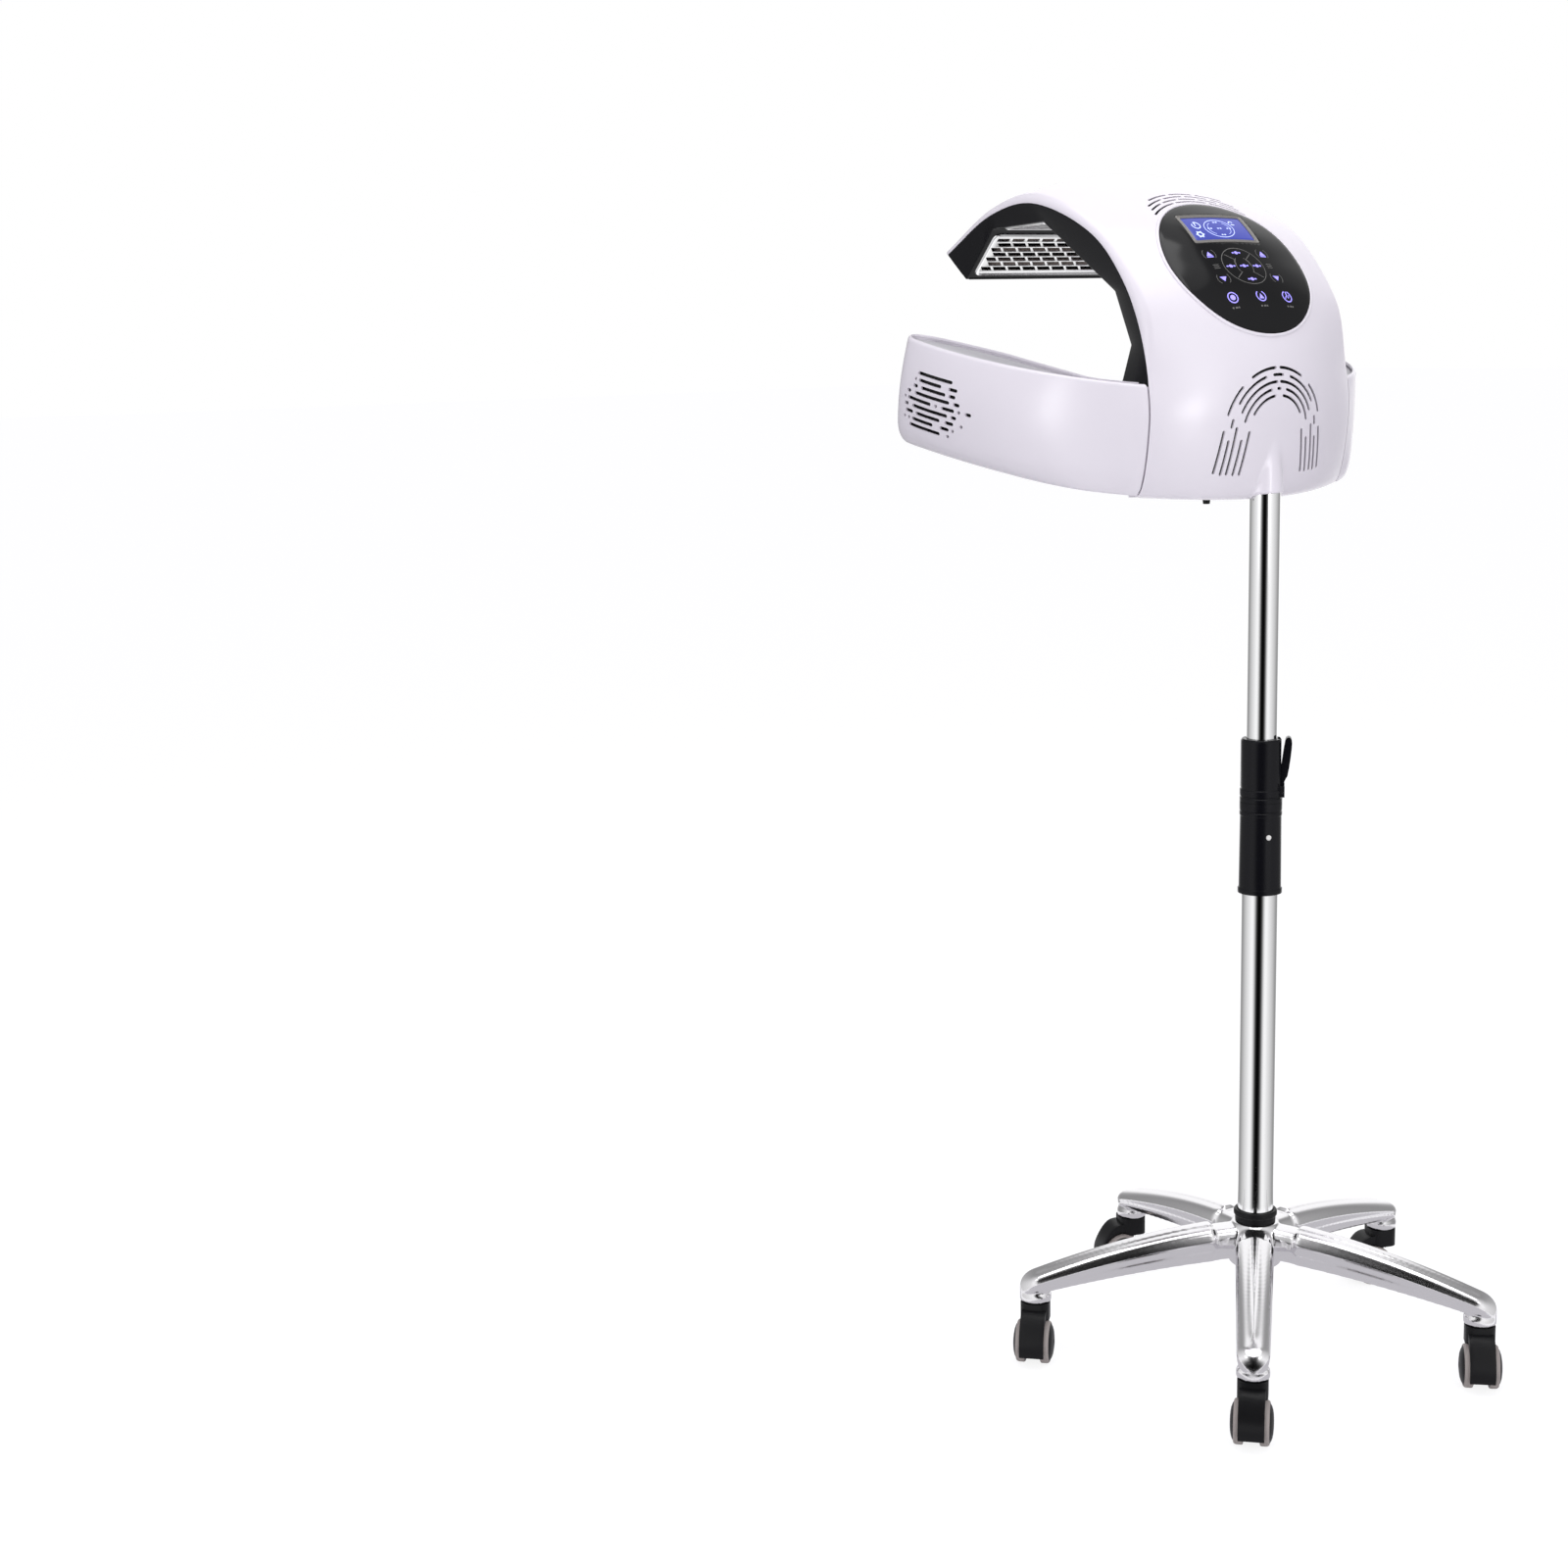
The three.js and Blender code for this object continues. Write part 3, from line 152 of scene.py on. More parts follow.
def turned(name, profile, steps=72):
    piece = ring_of_points(name, [(radius, 0, height) for radius, height in profile])
    edit(piece, lambda: bpy.ops.mesh.spin(
        steps=steps, angle=2 * math.pi, center=(0, 0, 0), axis=(0, 0, 1),
    ))
    return cleaned(piece)


def raised(piece, height):
    edit(piece, lambda: bpy.ops.mesh.extrude_region_move(
        TRANSFORM_OT_translate={"value": (0, 0, height * MM)},
    ))
    return cleaned(piece)


def extruded(name, outline, low, high):
    return raised(ring_of_points(name, [(a, b, low) for a, b in outline], "NGON"), high - low)


def joined(name, *pieces):
    select_only(*pieces)
    bpy.ops.object.join()
    pieces[0].name = pieces[0].data.name = name
    return pieces[0]


# %% Moving, copying and removing
MIRROR = Matrix.Scale(-1, 4, (1, 0, 0))


def moved(piece, matrix):
    piece.data.transform(matrix)
    return piece


def copied(piece, name, matrix):
    twin = piece.copy()
    twin.data = piece.data.copy()
    twin.name = twin.data.name = name
    bpy.context.collection.objects.link(twin)
    twin.data.transform(matrix)
    if matrix.determinant() < 0:
        twin.data.flip_normals()
    return twin


def remove(*pieces):
    for piece in pieces:
        bpy.data.objects.remove(piece)


def place_mm(x, y, z):
    return Matrix.Translation(Vector((x, y, z)) * MM)


def turn_about(axis, degrees):
    return Matrix.Rotation(math.radians(degrees), 4, axis)


def frame_at(x_axis, y_axis, origin):
    """The matrix of a drawing frame, from two of its axes and its origin in millimetres"""
    x_axis, y_axis = Vector(x_axis), Vector(y_axis)
    matrix = Matrix((x_axis, y_axis, x_axis.cross(y_axis).normalized())).transposed().to_4x4()
    matrix.translation = Vector(origin) * MM
    return matrix


# %% [markdown]
# ## Outlines
# Slots have round ends, and plates have round corners. Bars are straight cutters for many slots at once.

# %% Slot, plate and arc outlines
def polar(radius, angle, middle=(0, 0)):
    return (middle[0] + radius * math.cos(angle), middle[1] + radius * math.sin(angle))


def disc_outline(radius, count=96):
    return [polar(radius, 2 * math.pi * k / count) for k in range(count)]


def arc_path(radius, start, end, centre=(0, 0), step=6):
    count = max(2, round(abs(end - start) / step))
    return [
        polar(radius, math.radians(start + (end - start) * k / count), centre) for k in range(count + 1)
    ]


def slot_outline(path, width, ends=4):
    half = width / 2
    left, right = [], []
    for i, (a, b) in enumerate(path):
        a0, b0 = path[max(0, i - 1)]
        a1, b1 = path[min(len(path) - 1, i + 1)]
        length = math.hypot(a1 - a0, b1 - b0)
        na, nb = -(b1 - b0) / length, (a1 - a0) / length
        left.append((a + na * half, b + nb * half))
        right.append((a - na * half, b - nb * half))

    def cap(centre, start):
        angle = math.atan2(start[1] - centre[1], start[0] - centre[0])
        return [polar(half, angle - math.pi * k / ends, centre) for k in range(1, ends)]
    return left + cap(path[-1], left[-1]) + right[::-1] + cap(path[0], right[0])


def rounded_box(width, height, radius, steps=6):
    points = []
    for sx, sy, start in ((1, 1, 0), (-1, 1, 90), (-1, -1, 180), (1, -1, 270)):
        corner = (sx * (width / 2 - radius), sy * (height / 2 - radius))
        points += [polar(radius, math.radians(start + 90 * k / steps), corner) for k in range(steps + 1)]
    return points


def bars(outlines, low, high, matrix=Matrix.Identity(4)):
    corners, faces = [], []
    for outline in outlines:
        base, count = len(corners), len(outline)
        corners += [Vector((a, b, level)) * MM for level in (low, high) for a, b in outline]
        foot = list(range(base, base + count))
        top = [i + count for i in foot]
        faces += [foot[::-1], top]
        for i in range(count):
            j = (i + 1) % count
            faces.append([foot[i], foot[j], top[j], top[i]])
    mesh = bpy.data.meshes.new("bars")
    mesh.from_pydata(corners, [], faces)
    mesh.transform(matrix)
    piece = bpy.data.objects.new("bars", mesh)
    bpy.context.collection.objects.link(piece)
    return cleaned(piece)


# %% [markdown]
# ## Finishes
# A real moulding is never one flat colour. A shared node group gives slow colour drift, uneven gloss and
# a fine grain from noise in the piece's own coordinates, so the pattern stays on the piece when it moves.
# A second group draws long faint polishing lines for metal, and a third a coarser skin. Each material sets
# its own amounts.

# %% Adding and wiring nodes
def feed(tree, node, **values):
    """Sets or wires a node's inputs by their names, with _ for a space"""
    for label, value in values.items():
        socket = node.inputs[label.replace("_", " ")]
        if isinstance(value, bpy.types.NodeSocket):
            tree.links.new(value, socket)
        else:
            socket.default_value = value
    return node


def add_node(tree, kind, **values):
    return feed(tree, tree.nodes.new(kind), **values)


def add_group(tree, group, **values):
    node = tree.nodes.new("ShaderNodeGroup")
    node.node_tree = group
    return feed(tree, node, **values)


def math_node(tree, operation, *values):
    node = tree.nodes.new("ShaderNodeMath")
    node.operation = operation
    for socket, value in zip(node.inputs, values):
        if isinstance(value, (int, float)):
            socket.default_value = value
        else:
            tree.links.new(value, socket)
    return node.outputs[0]


def vector_node(tree, operation, first, second=None):
    node = tree.nodes.new("ShaderNodeVectorMath")
    node.operation = operation
    tree.links.new(first, node.inputs[0])
    if second is not None:
        node.inputs[1].default_value = second
    return node


# %% Shared node groups
FLOAT, COLOR = "NodeSocketFloat", "NodeSocketColor"
GROUP_INPUTS = [
    ("Color", COLOR, (1, 1, 1, 1)), ("Drift", FLOAT, 0.05),
    ("Roughness", FLOAT, 0.3), ("Unevenness", FLOAT, 0.05),
]
GROUP_OUTPUTS = [("Color", COLOR), ("Roughness", FLOAT), ("Height", FLOAT)]
GRAIN_SHARE = 0.6


def moulded_group(name, stretch, slow, fine):
    """Colour drift, uneven gloss and a fine grain, stretched along the piece's axes"""
    group = bpy.data.node_groups.new(name, "ShaderNodeTree")
    for label, kind, value in GROUP_INPUTS:
        group.interface.new_socket(label, in_out="INPUT", socket_type=kind).default_value = value
    for label, kind in GROUP_OUTPUTS:
        group.interface.new_socket(label, in_out="OUTPUT", socket_type=kind)
    given = group.nodes.new("NodeGroupInput").outputs
    place = group.nodes.new("ShaderNodeTexCoord").outputs["Object"]
    mapped = add_node(group, "ShaderNodeMapping", Vector=place, Scale=stretch).outputs["Vector"]
    slow_noise, fine_noise = (
        add_node(group, "ShaderNodeTexNoise", Vector=mapped, Scale=scale, Detail=detail).outputs[0]
        for scale, detail in ((slow, 3), (fine, 2))
    )
    swing = math_node(group, "SUBTRACT", slow_noise, 0.5)
    gain = math_node(group, "ADD", math_node(group, "MULTIPLY", swing, given["Drift"]), 1)
    scaled = feed(group, vector_node(group, "SCALE", given["Color"]), Scale=gain)
    grain = math_node(group, "SUBTRACT", fine_noise, 0.5)
    both = math_node(group, "ADD", swing, math_node(group, "MULTIPLY", grain, GRAIN_SHARE))
    shift = math_node(group, "MULTIPLY", both, given["Unevenness"])
    add_node(
        group, "NodeGroupOutput", Color=scaled.outputs[0], Height=fine_noise,
        Roughness=math_node(group, "ADD", given["Roughness"], shift),
    )
    return group


moulded = moulded_group("moulded_skin", (1, 1, 1), 9, 900)
polished = moulded_group("polishing_lines", (1, 1, 0.03), 70, 700)
pebbled = moulded_group("pebbled_skin", (1, 1, 1), 30, 1700)

# %% One material from a group and its amounts
GRAIN_DEPTH = 0.0006


def finish(name, group, color, roughness, drift=0.05, unevenness=0.06, metallic=0.0, grain=0.02, **sockets):
    material = bpy.data.materials.new(name)
    material.use_nodes = True
    tree = material.node_tree
    skin = add_group(
        tree, group, Color=(*color, 1), Roughness=roughness, Drift=drift, Unevenness=unevenness,
    ).outputs
    bump = add_node(tree, "ShaderNodeBump", Strength=grain, Distance=GRAIN_DEPTH, Height=skin["Height"])
    feed(
        tree, tree.nodes["Principled BSDF"], Base_Color=skin["Color"], Roughness=skin["Roughness"],
        Normal=bump.outputs["Normal"], Metallic=metallic, **sockets,
    )
    return material


white_gloss = finish("white_gloss", moulded, (0.83, 0.792, 0.848), 0.22, 0.03, 0.08, grain=0.015)
grey_satin = finish("grey_satin", moulded, (0.50, 0.495, 0.515), 0.42, 0.06, 0.1, grain=0.05)
black_gloss = finish(
    "black_gloss", moulded, (0.005, 0.005, 0.007), 0.2, 0.2, 0.08, grain=0.01, Specular_IOR_Level=0.18,
)
black_satin = finish(
    "black_satin", pebbled, (0.006, 0.006, 0.007), 0.4, 0.2, 0.12, grain=0.12, Specular_IOR_Level=0.2,
)
panel_black = finish(
    "panel_black", moulded, (0.003, 0.003, 0.004), 0.09, 0.2, 0.04, grain=0.004, Specular_IOR_Level=0.25,
)
chrome = finish("chrome", polished, (0.90, 0.90, 0.91), 0.06, 0.05, 0.06, 1.0, grain=0.004)
stamped = finish("stamped_steel", moulded, (0.78, 0.78, 0.79), 0.24, 0.08, 0.12, 1.0, grain=0.02)
aluminium = finish("polished_aluminium", moulded, (0.82, 0.81, 0.83), 0.15, 0.06, 0.16, 1.0, grain=0.02)
steel = finish("turned_steel", polished, (0.55, 0.56, 0.58), 0.3, 0.1, 0.12, 1.0, grain=0.04)
nylon = finish("nylon", pebbled, (0.78, 0.77, 0.74), 0.45, 0.05, 0.1, grain=0.06)
bezel_grey = finish("bezel_grey", moulded, (0.20, 0.19, 0.175), 0.3, 0.1, 0.1, grain=0.03)
mark_dim = finish("mark_dim", moulded, (0.14, 0.135, 0.13), 0.4, 0.2, 0.1, grain=0.02)
tread_taupe = finish("tread_taupe", pebbled, (0.36, 0.32, 0.30), 0.5, 0.12, 0.15, grain=0.1)
ceramic = finish("ceramic", pebbled, (0.27, 0.22, 0.19), 0.6, 0.2, 0.2, grain=0.15)
board_green = finish("board_green", moulded, (0.02, 0.09, 0.035), 0.4, 0.3, 0.2, grain=0.05)
GLOW_DRIFT = 0.35


def lit(name, color, glow, strength):
    """A back-lit mark: its own colour, plus a glow that drifts a little over the surface"""
    material = finish(name, moulded, color, 0.25, 0.15, 0.05, grain=0.004)
    tree = material.node_tree
    glowing = add_group(tree, moulded, Color=(*glow, 1), Drift=GLOW_DRIFT)
    feed(
        tree, tree.nodes["Principled BSDF"],
        Emission_Color=glowing.outputs["Color"], Emission_Strength=strength,
    )
    return material


screen_blue = lit("screen_blue", (0.02, 0.028, 0.14), (0.035, 0.05, 0.40), 0.8)
screen_mark = lit("screen_mark", (0.5, 0.55, 0.8), (0.45, 0.55, 0.95), 0.8)
key_lavender = lit("key_lavender", (0.25, 0.22, 0.6), (0.30, 0.26, 0.95), 1.0)
print("finishes:", len(bpy.data.materials))


# %% Hanging a finished piece on its body
def fit(piece, body, material, slot, *nodes):
    """Turns the faces outwards, gives a finish where there is none, and ties the piece to its body"""
    mesh = piece.data
    mesh.calc_loop_triangles()
    corners = ([mesh.vertices[i].co for i in triangle.vertices] for triangle in mesh.loop_triangles)
    if sum(a.dot(b.cross(c)) for a, b, c in corners) < 0:
        mesh.flip_normals()
    if not any(mesh.materials):
        mesh.materials.clear()
        mesh.materials.append(material)
    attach(piece, body)
    if nodes:
        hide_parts(*nodes)
    print(piece.name, "on", body, len(mesh.polygons), "faces")
    return piece


def fit_wings(piece, material, slot, *nodes):
    """Fits the left wing's piece, whose name ends in l, and its mirror image on the right wing"""
    twin = copied(piece, piece.name[:-1] + "r", MIRROR)
    for half, side in ((piece, "l"), (twin, "r")):
        fit(half, f"wing_{side}", material, slot, *[f"{node}_{side}" for node in nodes])


# %% [markdown]
# ## Camera, floor and light
# The camera stands where the photograph was taken: in front and to the left of the panel, a little above
# the hood's rim, looking slightly down. The floor is pale and white to the camera. Three soft boxes and a
# pale sky light the white hood evenly.

# %% Camera
LOOK_TURN, LOOK_DOWN, ROLL = (math.radians(angle) for angle in (57.65, 10.5, -1.28))
CAMERA_SPOT = (-1.947, -2.051, 1.203)
ahead = Vector((*polar(math.cos(LOOK_DOWN), LOOK_TURN), -math.sin(LOOK_DOWN)))
right = Vector((math.sin(LOOK_TURN), -math.cos(LOOK_TURN), 0))
above = right.cross(ahead)
right_rolled = math.cos(ROLL) * right + math.sin(ROLL) * above
above_rolled = math.cos(ROLL) * above - math.sin(ROLL) * right
pose = Matrix((right_rolled, above_rolled, -ahead)).transposed().to_4x4()
pose.translation = CAMERA_SPOT
lens = bpy.data.cameras.new("camera")
lens.lens, lens.sensor_width = 56.5, 36
camera = bpy.data.objects.new("camera", lens)
camera.matrix_world = pose
bpy.context.collection.objects.link(camera)
bpy.context.scene.camera = camera
bpy.context.scene.view_settings.view_transform = "Standard"


# %% Floor and sky
def seen_directly(tree):
    """1 for what the camera sees, also in a mirror or through glass, and 0 for light that bounces"""
    path = tree.nodes.new("ShaderNodeLightPath").outputs
    seen = math_node(tree, "MAXIMUM", path["Is Camera Ray"], path["Is Transmission Ray"])
    return math_node(tree, "MAXIMUM", seen, path["Is Glossy Ray"])


def mixed(tree, factor, first, second, output):
    mix = tree.nodes.new("ShaderNodeMixShader")
    for start, end in zip((factor, first.outputs[0], second.outputs[0]), mix.inputs):
        tree.links.new(start, end)
    tree.links.new(mix.outputs[0], tree.nodes[output].inputs["Surface"])


sky = bpy.data.worlds.new("sky")
sky.use_nodes = True
bpy.context.scene.world = sky
tree = sky.node_tree
ambient = feed(tree, tree.nodes["Background"], Color=(0.93, 0.92, 1.0, 1), Strength=0.55)
backdrop = add_node(tree, "ShaderNodeBackground", Color=(1, 1, 1, 1))
mixed(tree, seen_directly(tree), ambient, backdrop, "World Output")
bpy.ops.mesh.primitive_plane_add(size=80)
floor = added("floor")
floor_white = finish("floor_white", moulded, (0.85, 0.85, 0.86), 0.7, 0.01, 0.05)
floor.data.materials.append(floor_white)
tree = floor_white.node_tree
paper = add_node(tree, "ShaderNodeEmission", Strength=0.86)
shade = add_node(tree, "ShaderNodeBsdfDiffuse", Color=(0.26, 0.26, 0.27, 1))
paper_and_shade = tree.nodes.new("ShaderNodeAddShader")
for shader, socket in zip((paper, shade), paper_and_shade.inputs):
    tree.links.new(shader.outputs[0], socket)
mixed(tree, seen_directly(tree), tree.nodes["Principled BSDF"], paper_and_shade, "Material Output")

# %% Soft boxes
HEAD_SPOT = Vector((0, 0.1, 1.2))
for name, spot, width, height, power in (
    ("over_head", (-0.3, -0.2, 3.0), 2.0, 2.0, 25),
    ("left_tall", (-2.3, -0.66, 1.25), 0.45, 1.5, 9),
    ("front_tall", (-0.1, -2.6, 1.4), 0.7, 2.0, 14.5),
):
    lamp = bpy.data.lights.new(name, "AREA")
    lamp.shape = "RECTANGLE"
    lamp.size, lamp.size_y, lamp.energy = width, height, power
    box = bpy.data.objects.new(name, lamp)
    box.location = spot
    box.rotation_euler = (HEAD_SPOT - Vector(spot)).to_track_quat("-Z", "Y").to_euler()
    bpy.context.collection.objects.link(box)

# %% [markdown]
# Chrome shows only what stands round it. In a white room it turns white, so a studio hangs a wall of grey
# and black paper round the object. This ring does the same: black behind the camera, white beside it, grey
# further round, and a bright strip straight across. A grey mat does it for the base. Only reflections see
# them, so they throw no shade and don't colour the plain surfaces.

# %% Paper ring and mat
def glowing_paper(name):
    material = bpy.data.materials.new(name)
    material.use_nodes = True
    tree = material.node_tree
    glow = tree.nodes.new("ShaderNodeEmission")
    feed(tree, tree.nodes["Material Output"], Surface=glow.outputs[0])
    return material, tree, glow


def only_reflected(piece, material):
    piece.data.materials.append(material)
    piece.visible_camera = piece.visible_diffuse = piece.visible_transmission = piece.visible_shadow = False


PAPER = [
    (0.0, 1.2), (0.06, 1.1), (0.11, 0.45), (0.166, 0.31), (0.266, 0.37), (0.457, 0.60), (0.604, 0.74),
    (0.743, 0.88), (0.822, 1.0), (0.894, 1.0), (0.938, 0.66), (0.964, 0.28), (0.983, 0.05), (0.996, 0.004),
    (1.0, 0.002),
]
RING_SECTION, RING_STEPS = [(360, 45), (900, 700), (900, 2700)], 96
MAT_RADIUS, MAT_LEVEL = 0.42, 0.0005
ring = sheet("paper_ring", 2, RING_STEPS, lambda i, j: (
    *polar(RING_SECTION[i][0], 2 * math.pi * j / RING_STEPS), RING_SECTION[i][1],
))
paper_ring, tree, glow = glowing_paper("paper_ring")
place = tree.nodes.new("ShaderNodeTexCoord").outputs["Object"]
flat = vector_node(tree, "MULTIPLY", place, (1, 1, 0))
unit = vector_node(tree, "NORMALIZE", flat.outputs[0])
to_camera = Vector((*CAMERA_SPOT[:2], 0)).normalized()
towards_camera = vector_node(tree, "DOT_PRODUCT", unit.outputs[0], to_camera)
share = math_node(tree, "MULTIPLY_ADD", towards_camera.outputs["Value"], 0.5, 0.5)
ramp = tree.nodes.new("ShaderNodeValToRGB")
stops = ramp.color_ramp.elements
for position, grey in PAPER[1:-1]:
    stops.new(position)
for stop, (position, grey) in zip(stops, PAPER):
    stop.color = (grey, grey, grey, 1)
tree.links.new(share, ramp.inputs[0])
feed(tree, glow, Color=ramp.outputs[0])
only_reflected(ring, paper_ring)
bpy.ops.mesh.primitive_circle_add(radius=MAT_RADIUS, vertices=64, fill_type="NGON")
mat = added("paper_mat")
mat.location.z = MAT_LEVEL
paper_mat, tree, glow = glowing_paper("paper_mat")
feed(tree, glow, Color=(0.60, 0.59, 0.62, 1))
only_reflected(mat, paper_mat)
print("paper ring with", len(stops), "greys")

# %% [markdown]
# Two soft lit cards stand just inside the ring at the hood's height. They make the long soft highlights on
# the wing and beside it on the hood. Their glow fades to nothing at the edge, as a softbox's does.

# %% Glow cards
CARD_SPOT, CARD_HEIGHT = (0.83, 0, 1.07), 0.55
for name, turn, width, strength in (("wing_glow", 187, 0.34, 7), ("hood_glow", 260, 0.36, 10)):
    card_glow, tree, glow = glowing_paper(name)
    feed(tree, glow, Strength=strength)
    place = tree.nodes.new("ShaderNodeTexCoord").outputs["UV"]
    middle = add_node(tree, "ShaderNodeMapping", Vector=place, Location=(-1, -1, 0), Scale=(2, 2, 0))
    ball = add_node(tree, "ShaderNodeTexGradient", Vector=middle.outputs[0])
    ball.gradient_type = "QUADRATIC_SPHERE"
    clear = tree.nodes.new("ShaderNodeBsdfTransparent")
    mixed(tree, ball.outputs[1], clear, glow, "Material Output")
    bpy.ops.mesh.primitive_plane_add(size=1)
    card = moved(
        added(name),
        turn_about("Z", turn) @ Matrix.Translation(CARD_SPOT) @ turn_about("Y", -90) @ turn_about("Z", 90)
        @ Matrix.Diagonal((width, CARD_HEIGHT, 1, 1)),
    )
    only_reflected(card, card_glow)

# %% [markdown]
# ## The hood's curves
# The hood is one moulding whose shape follows two lines from the lower rim over the top to the front lip:
# the crown in the middle and the edge at the seams. A smooth curve runs through each list of points, given
# as forward and up from the underside of the head. Across the head the skin bows from crown to edge, and
# above the wings it rolls over a small shoulder.

# %% Smooth curves through points
def spline(points, closed=False):
    """A centripetal curve through points; the parameter counts the points passed"""
    points = [Vector(p) for p in points]
    count = len(points)

    def point(i):
        if closed:
            return points[i % count]
        if i < 0:
            return 2 * points[0] - points[1]
        return 2 * points[-1] - points[-2] if i >= count else points[i]

    def at(t):
        i = math.floor(t) if closed else min(max(math.floor(t), 0), count - 2)
        t -= i
        p0, p1, p2, p3 = (point(i + k) for k in (-1, 0, 1, 2))
        d0, d1, d2 = ((b - a).length ** 0.5 or 1 for a, b in ((p0, p1), (p1, p2), (p2, p3)))
        m1 = ((p1 - p0) / d0 - (p2 - p0) / (d0 + d1) + (p2 - p1) / d1) * d1
        m2 = ((p2 - p1) / d1 - (p3 - p1) / (d1 + d2) + (p3 - p2) / d2) * d1
        bend = 3 * (p2 - p1) - 2 * m1 - m2
        twist = 2 * (p1 - p2) + m1 + m2
        return p1 + t * (m1 + t * (bend + t * twist))
    return at


HEAD_BASE = 1000
SEAM_HALF, CROWN_RISE, SHOULDER = 150, 22, 9
WALL, FIT = 2.6, 0.3
CORNER, LAST, SHOULDER_BLEND = 3, 9, 1.3
NUDGE = 0.02
crown = spline([
    (20, 2), (0, 5), (-20, 90), (-18, 150), (5, 216),
    (46, 267), (105, 321), (226, 370), (316, 354), (408, 302),
])
edge = spline([
    (58, 9), (40, 13), (22, 88), (25, 133), (43, 198),
    (71, 248), (121, 297), (230, 337), (308, 327), (393, 285),
])


def clamp(value, low=0.0, high=1.0):
    return min(max(value, low), high)


def smoothstep(value, low, high):
    t = clamp((value - low) / (high - low))
    return t * t * (3 - 2 * t)


def bisected(low, high, below, steps=26):
    """The place between low and high up to which a test holds"""
    for _ in range(steps):
        middle = (low + high) / 2
        if below(middle):
            low = middle
        else:
            high = middle
    return low


def drop(s, x):
    """How far the skin has come down from crown to edge, from 0 to 1"""
    bow = (x / SEAM_HALF) ** 2
    past = clamp(abs(x) - (SEAM_HALF - SHOULDER), 0, SHOULDER)
    roll = SHOULDER - math.sqrt(SHOULDER ** 2 - past ** 2)
    rolled = (CROWN_RISE * bow + roll) / (CROWN_RISE + SHOULDER)
    return bow + (rolled - bow) * smoothstep(s, CORNER, CORNER + SHOULDER_BLEND)


def skin(s, x):
    y, z = crown(s).lerp(edge(s), drop(s, x))
    return Vector((x, y, HEAD_BASE + z))


def skin_normal(s, x):
    inner = math.copysign(min(abs(x), SEAM_HALF - NUDGE), x)
    along = skin(min(LAST, s + NUDGE), inner) - skin(max(0, s - NUDGE), inner)
    across = skin(s, inner + NUDGE / 2) - skin(s, inner - NUDGE / 2)
    return across.cross(along).normalized()


# %% [markdown]
# ## The white hood
# The hood starts as a grid, finer where the mast's fairing swells out of the back wall and where the skin
# rolls over its shoulder. The fairing is part of the same moulding, so it is pulled out of the same grid
# with a soft blend. Solidify gives the wall, a bevel rounds the rim, and booleans cut the holes and slots.

# %% Hood grid
FAIRING_RADIUS, FAIRING_TAPER, FAIRING_TOP, FAIRING_BLEND = 21.5, 6.3, 72, 3.0
FAIRING_HALF, FAIRING_END = 26, 2.4
INSET, TOP_INSET = 0.35, 0.5


def fairing_pull(s, x, y, z):
    """Pulls the skin out to a half cone round the mast, blended softly into the wall"""
    rise = clamp((z - HEAD_BASE) / FAIRING_TOP)
    radius = FAIRING_RADIUS - FAIRING_TAPER * rise
    reach = math.sqrt(max(radius ** 2 - x ** 2, 0))
    target = -reach if reach else 1.5 * (abs(x) - radius)
    h = clamp(0.5 + 0.5 * (y - target) / FAIRING_BLEND)
    pulled = y + (target - y) * h - FAIRING_BLEND * h * (1 - h)
    return y + (min(pulled, y) - y) * smoothstep(s, 1.0, 1.12)


def hood_skin(s, x):
    """The skin, drawn in a little so that it stays inside the CAD solid"""
    point = skin(s, x) - INSET * skin_normal(s, x)
    if abs(x) < FAIRING_HALF and s < FAIRING_END:
        point.y = fairing_pull(s, x, point.y, point.z)
    point.z -= TOP_INSET * smoothstep(point.z, HEAD_BASE + 330, HEAD_BASE + 370)
    return point


half_columns = [1.5 * k for k in range(1, 18)] + [27 + 6 * k for k in range(19)]
half_columns += [138, 141, 142.5, 144, 145.5, 147, 148, 148.8, 149.4, 149.8, 150]
columns = [-x for x in reversed(half_columns)] + [0] + half_columns
rows = [k / 10 for k in range(10)] + [1 + k / 36 for k in range(36)] + [2 + k / 12 for k in range(85)]
hood = sheet("hood_shell", len(rows) - 1, len(columns) - 1, lambda i, j: hood_skin(rows[i], columns[j]))
walled(facing(hood, (0, -1, 0.2)), WALL, even=True)
print("hood grid", len(rows), "by", len(columns))

# %% [markdown]
# The touch panel sits in a round hole. Its frame has x across, y up the slope and z out of the panel, and
# everything on the panel is drawn in that frame in millimetres, then laid on the curved skin.

# %% Panel frame
ACROSS = Vector((1, 0, 0))
PANEL_RADIUS, PANEL_PROUD, PANEL_THICK = 97, 0.8, 3
MAST_HOLE = 18.1
panel_middle = skin(5, 0)
panel_up = (skin(5.6, 0) - skin(4.4, 0)).normalized()
panel_out = ACROSS.cross(panel_up).normalized()
panel_frame = frame_at(ACROSS, panel_up, panel_middle)


def on_panel(a, b, lift=0.0):
    """The point of the skin over (a, b) of the panel frame, lifted off it"""
    s = bisected(3.0, 8.0, lambda t: (skin(t, a) - panel_middle).dot(panel_up) < b)
    height = (skin(s, a) - panel_middle).dot(panel_out)
    return panel_middle + a * ACROSS + b * panel_up + (height + lift) * panel_out


cut(hood, bars([disc_outline(MAST_HOLE)], HEAD_BASE - 20, HEAD_BASE + 22))
cut(hood, bars([disc_outline(PANEL_RADIUS + FIT)], -40, 40, panel_frame))
rounded(hood, 0.7, 2, 50)

# %% [markdown]
# Warm air leaves through slots: five broken arches over the mast with straight legs below, and short rows
# round the panel's upper rim. Each slot is one closed outline with round ends.

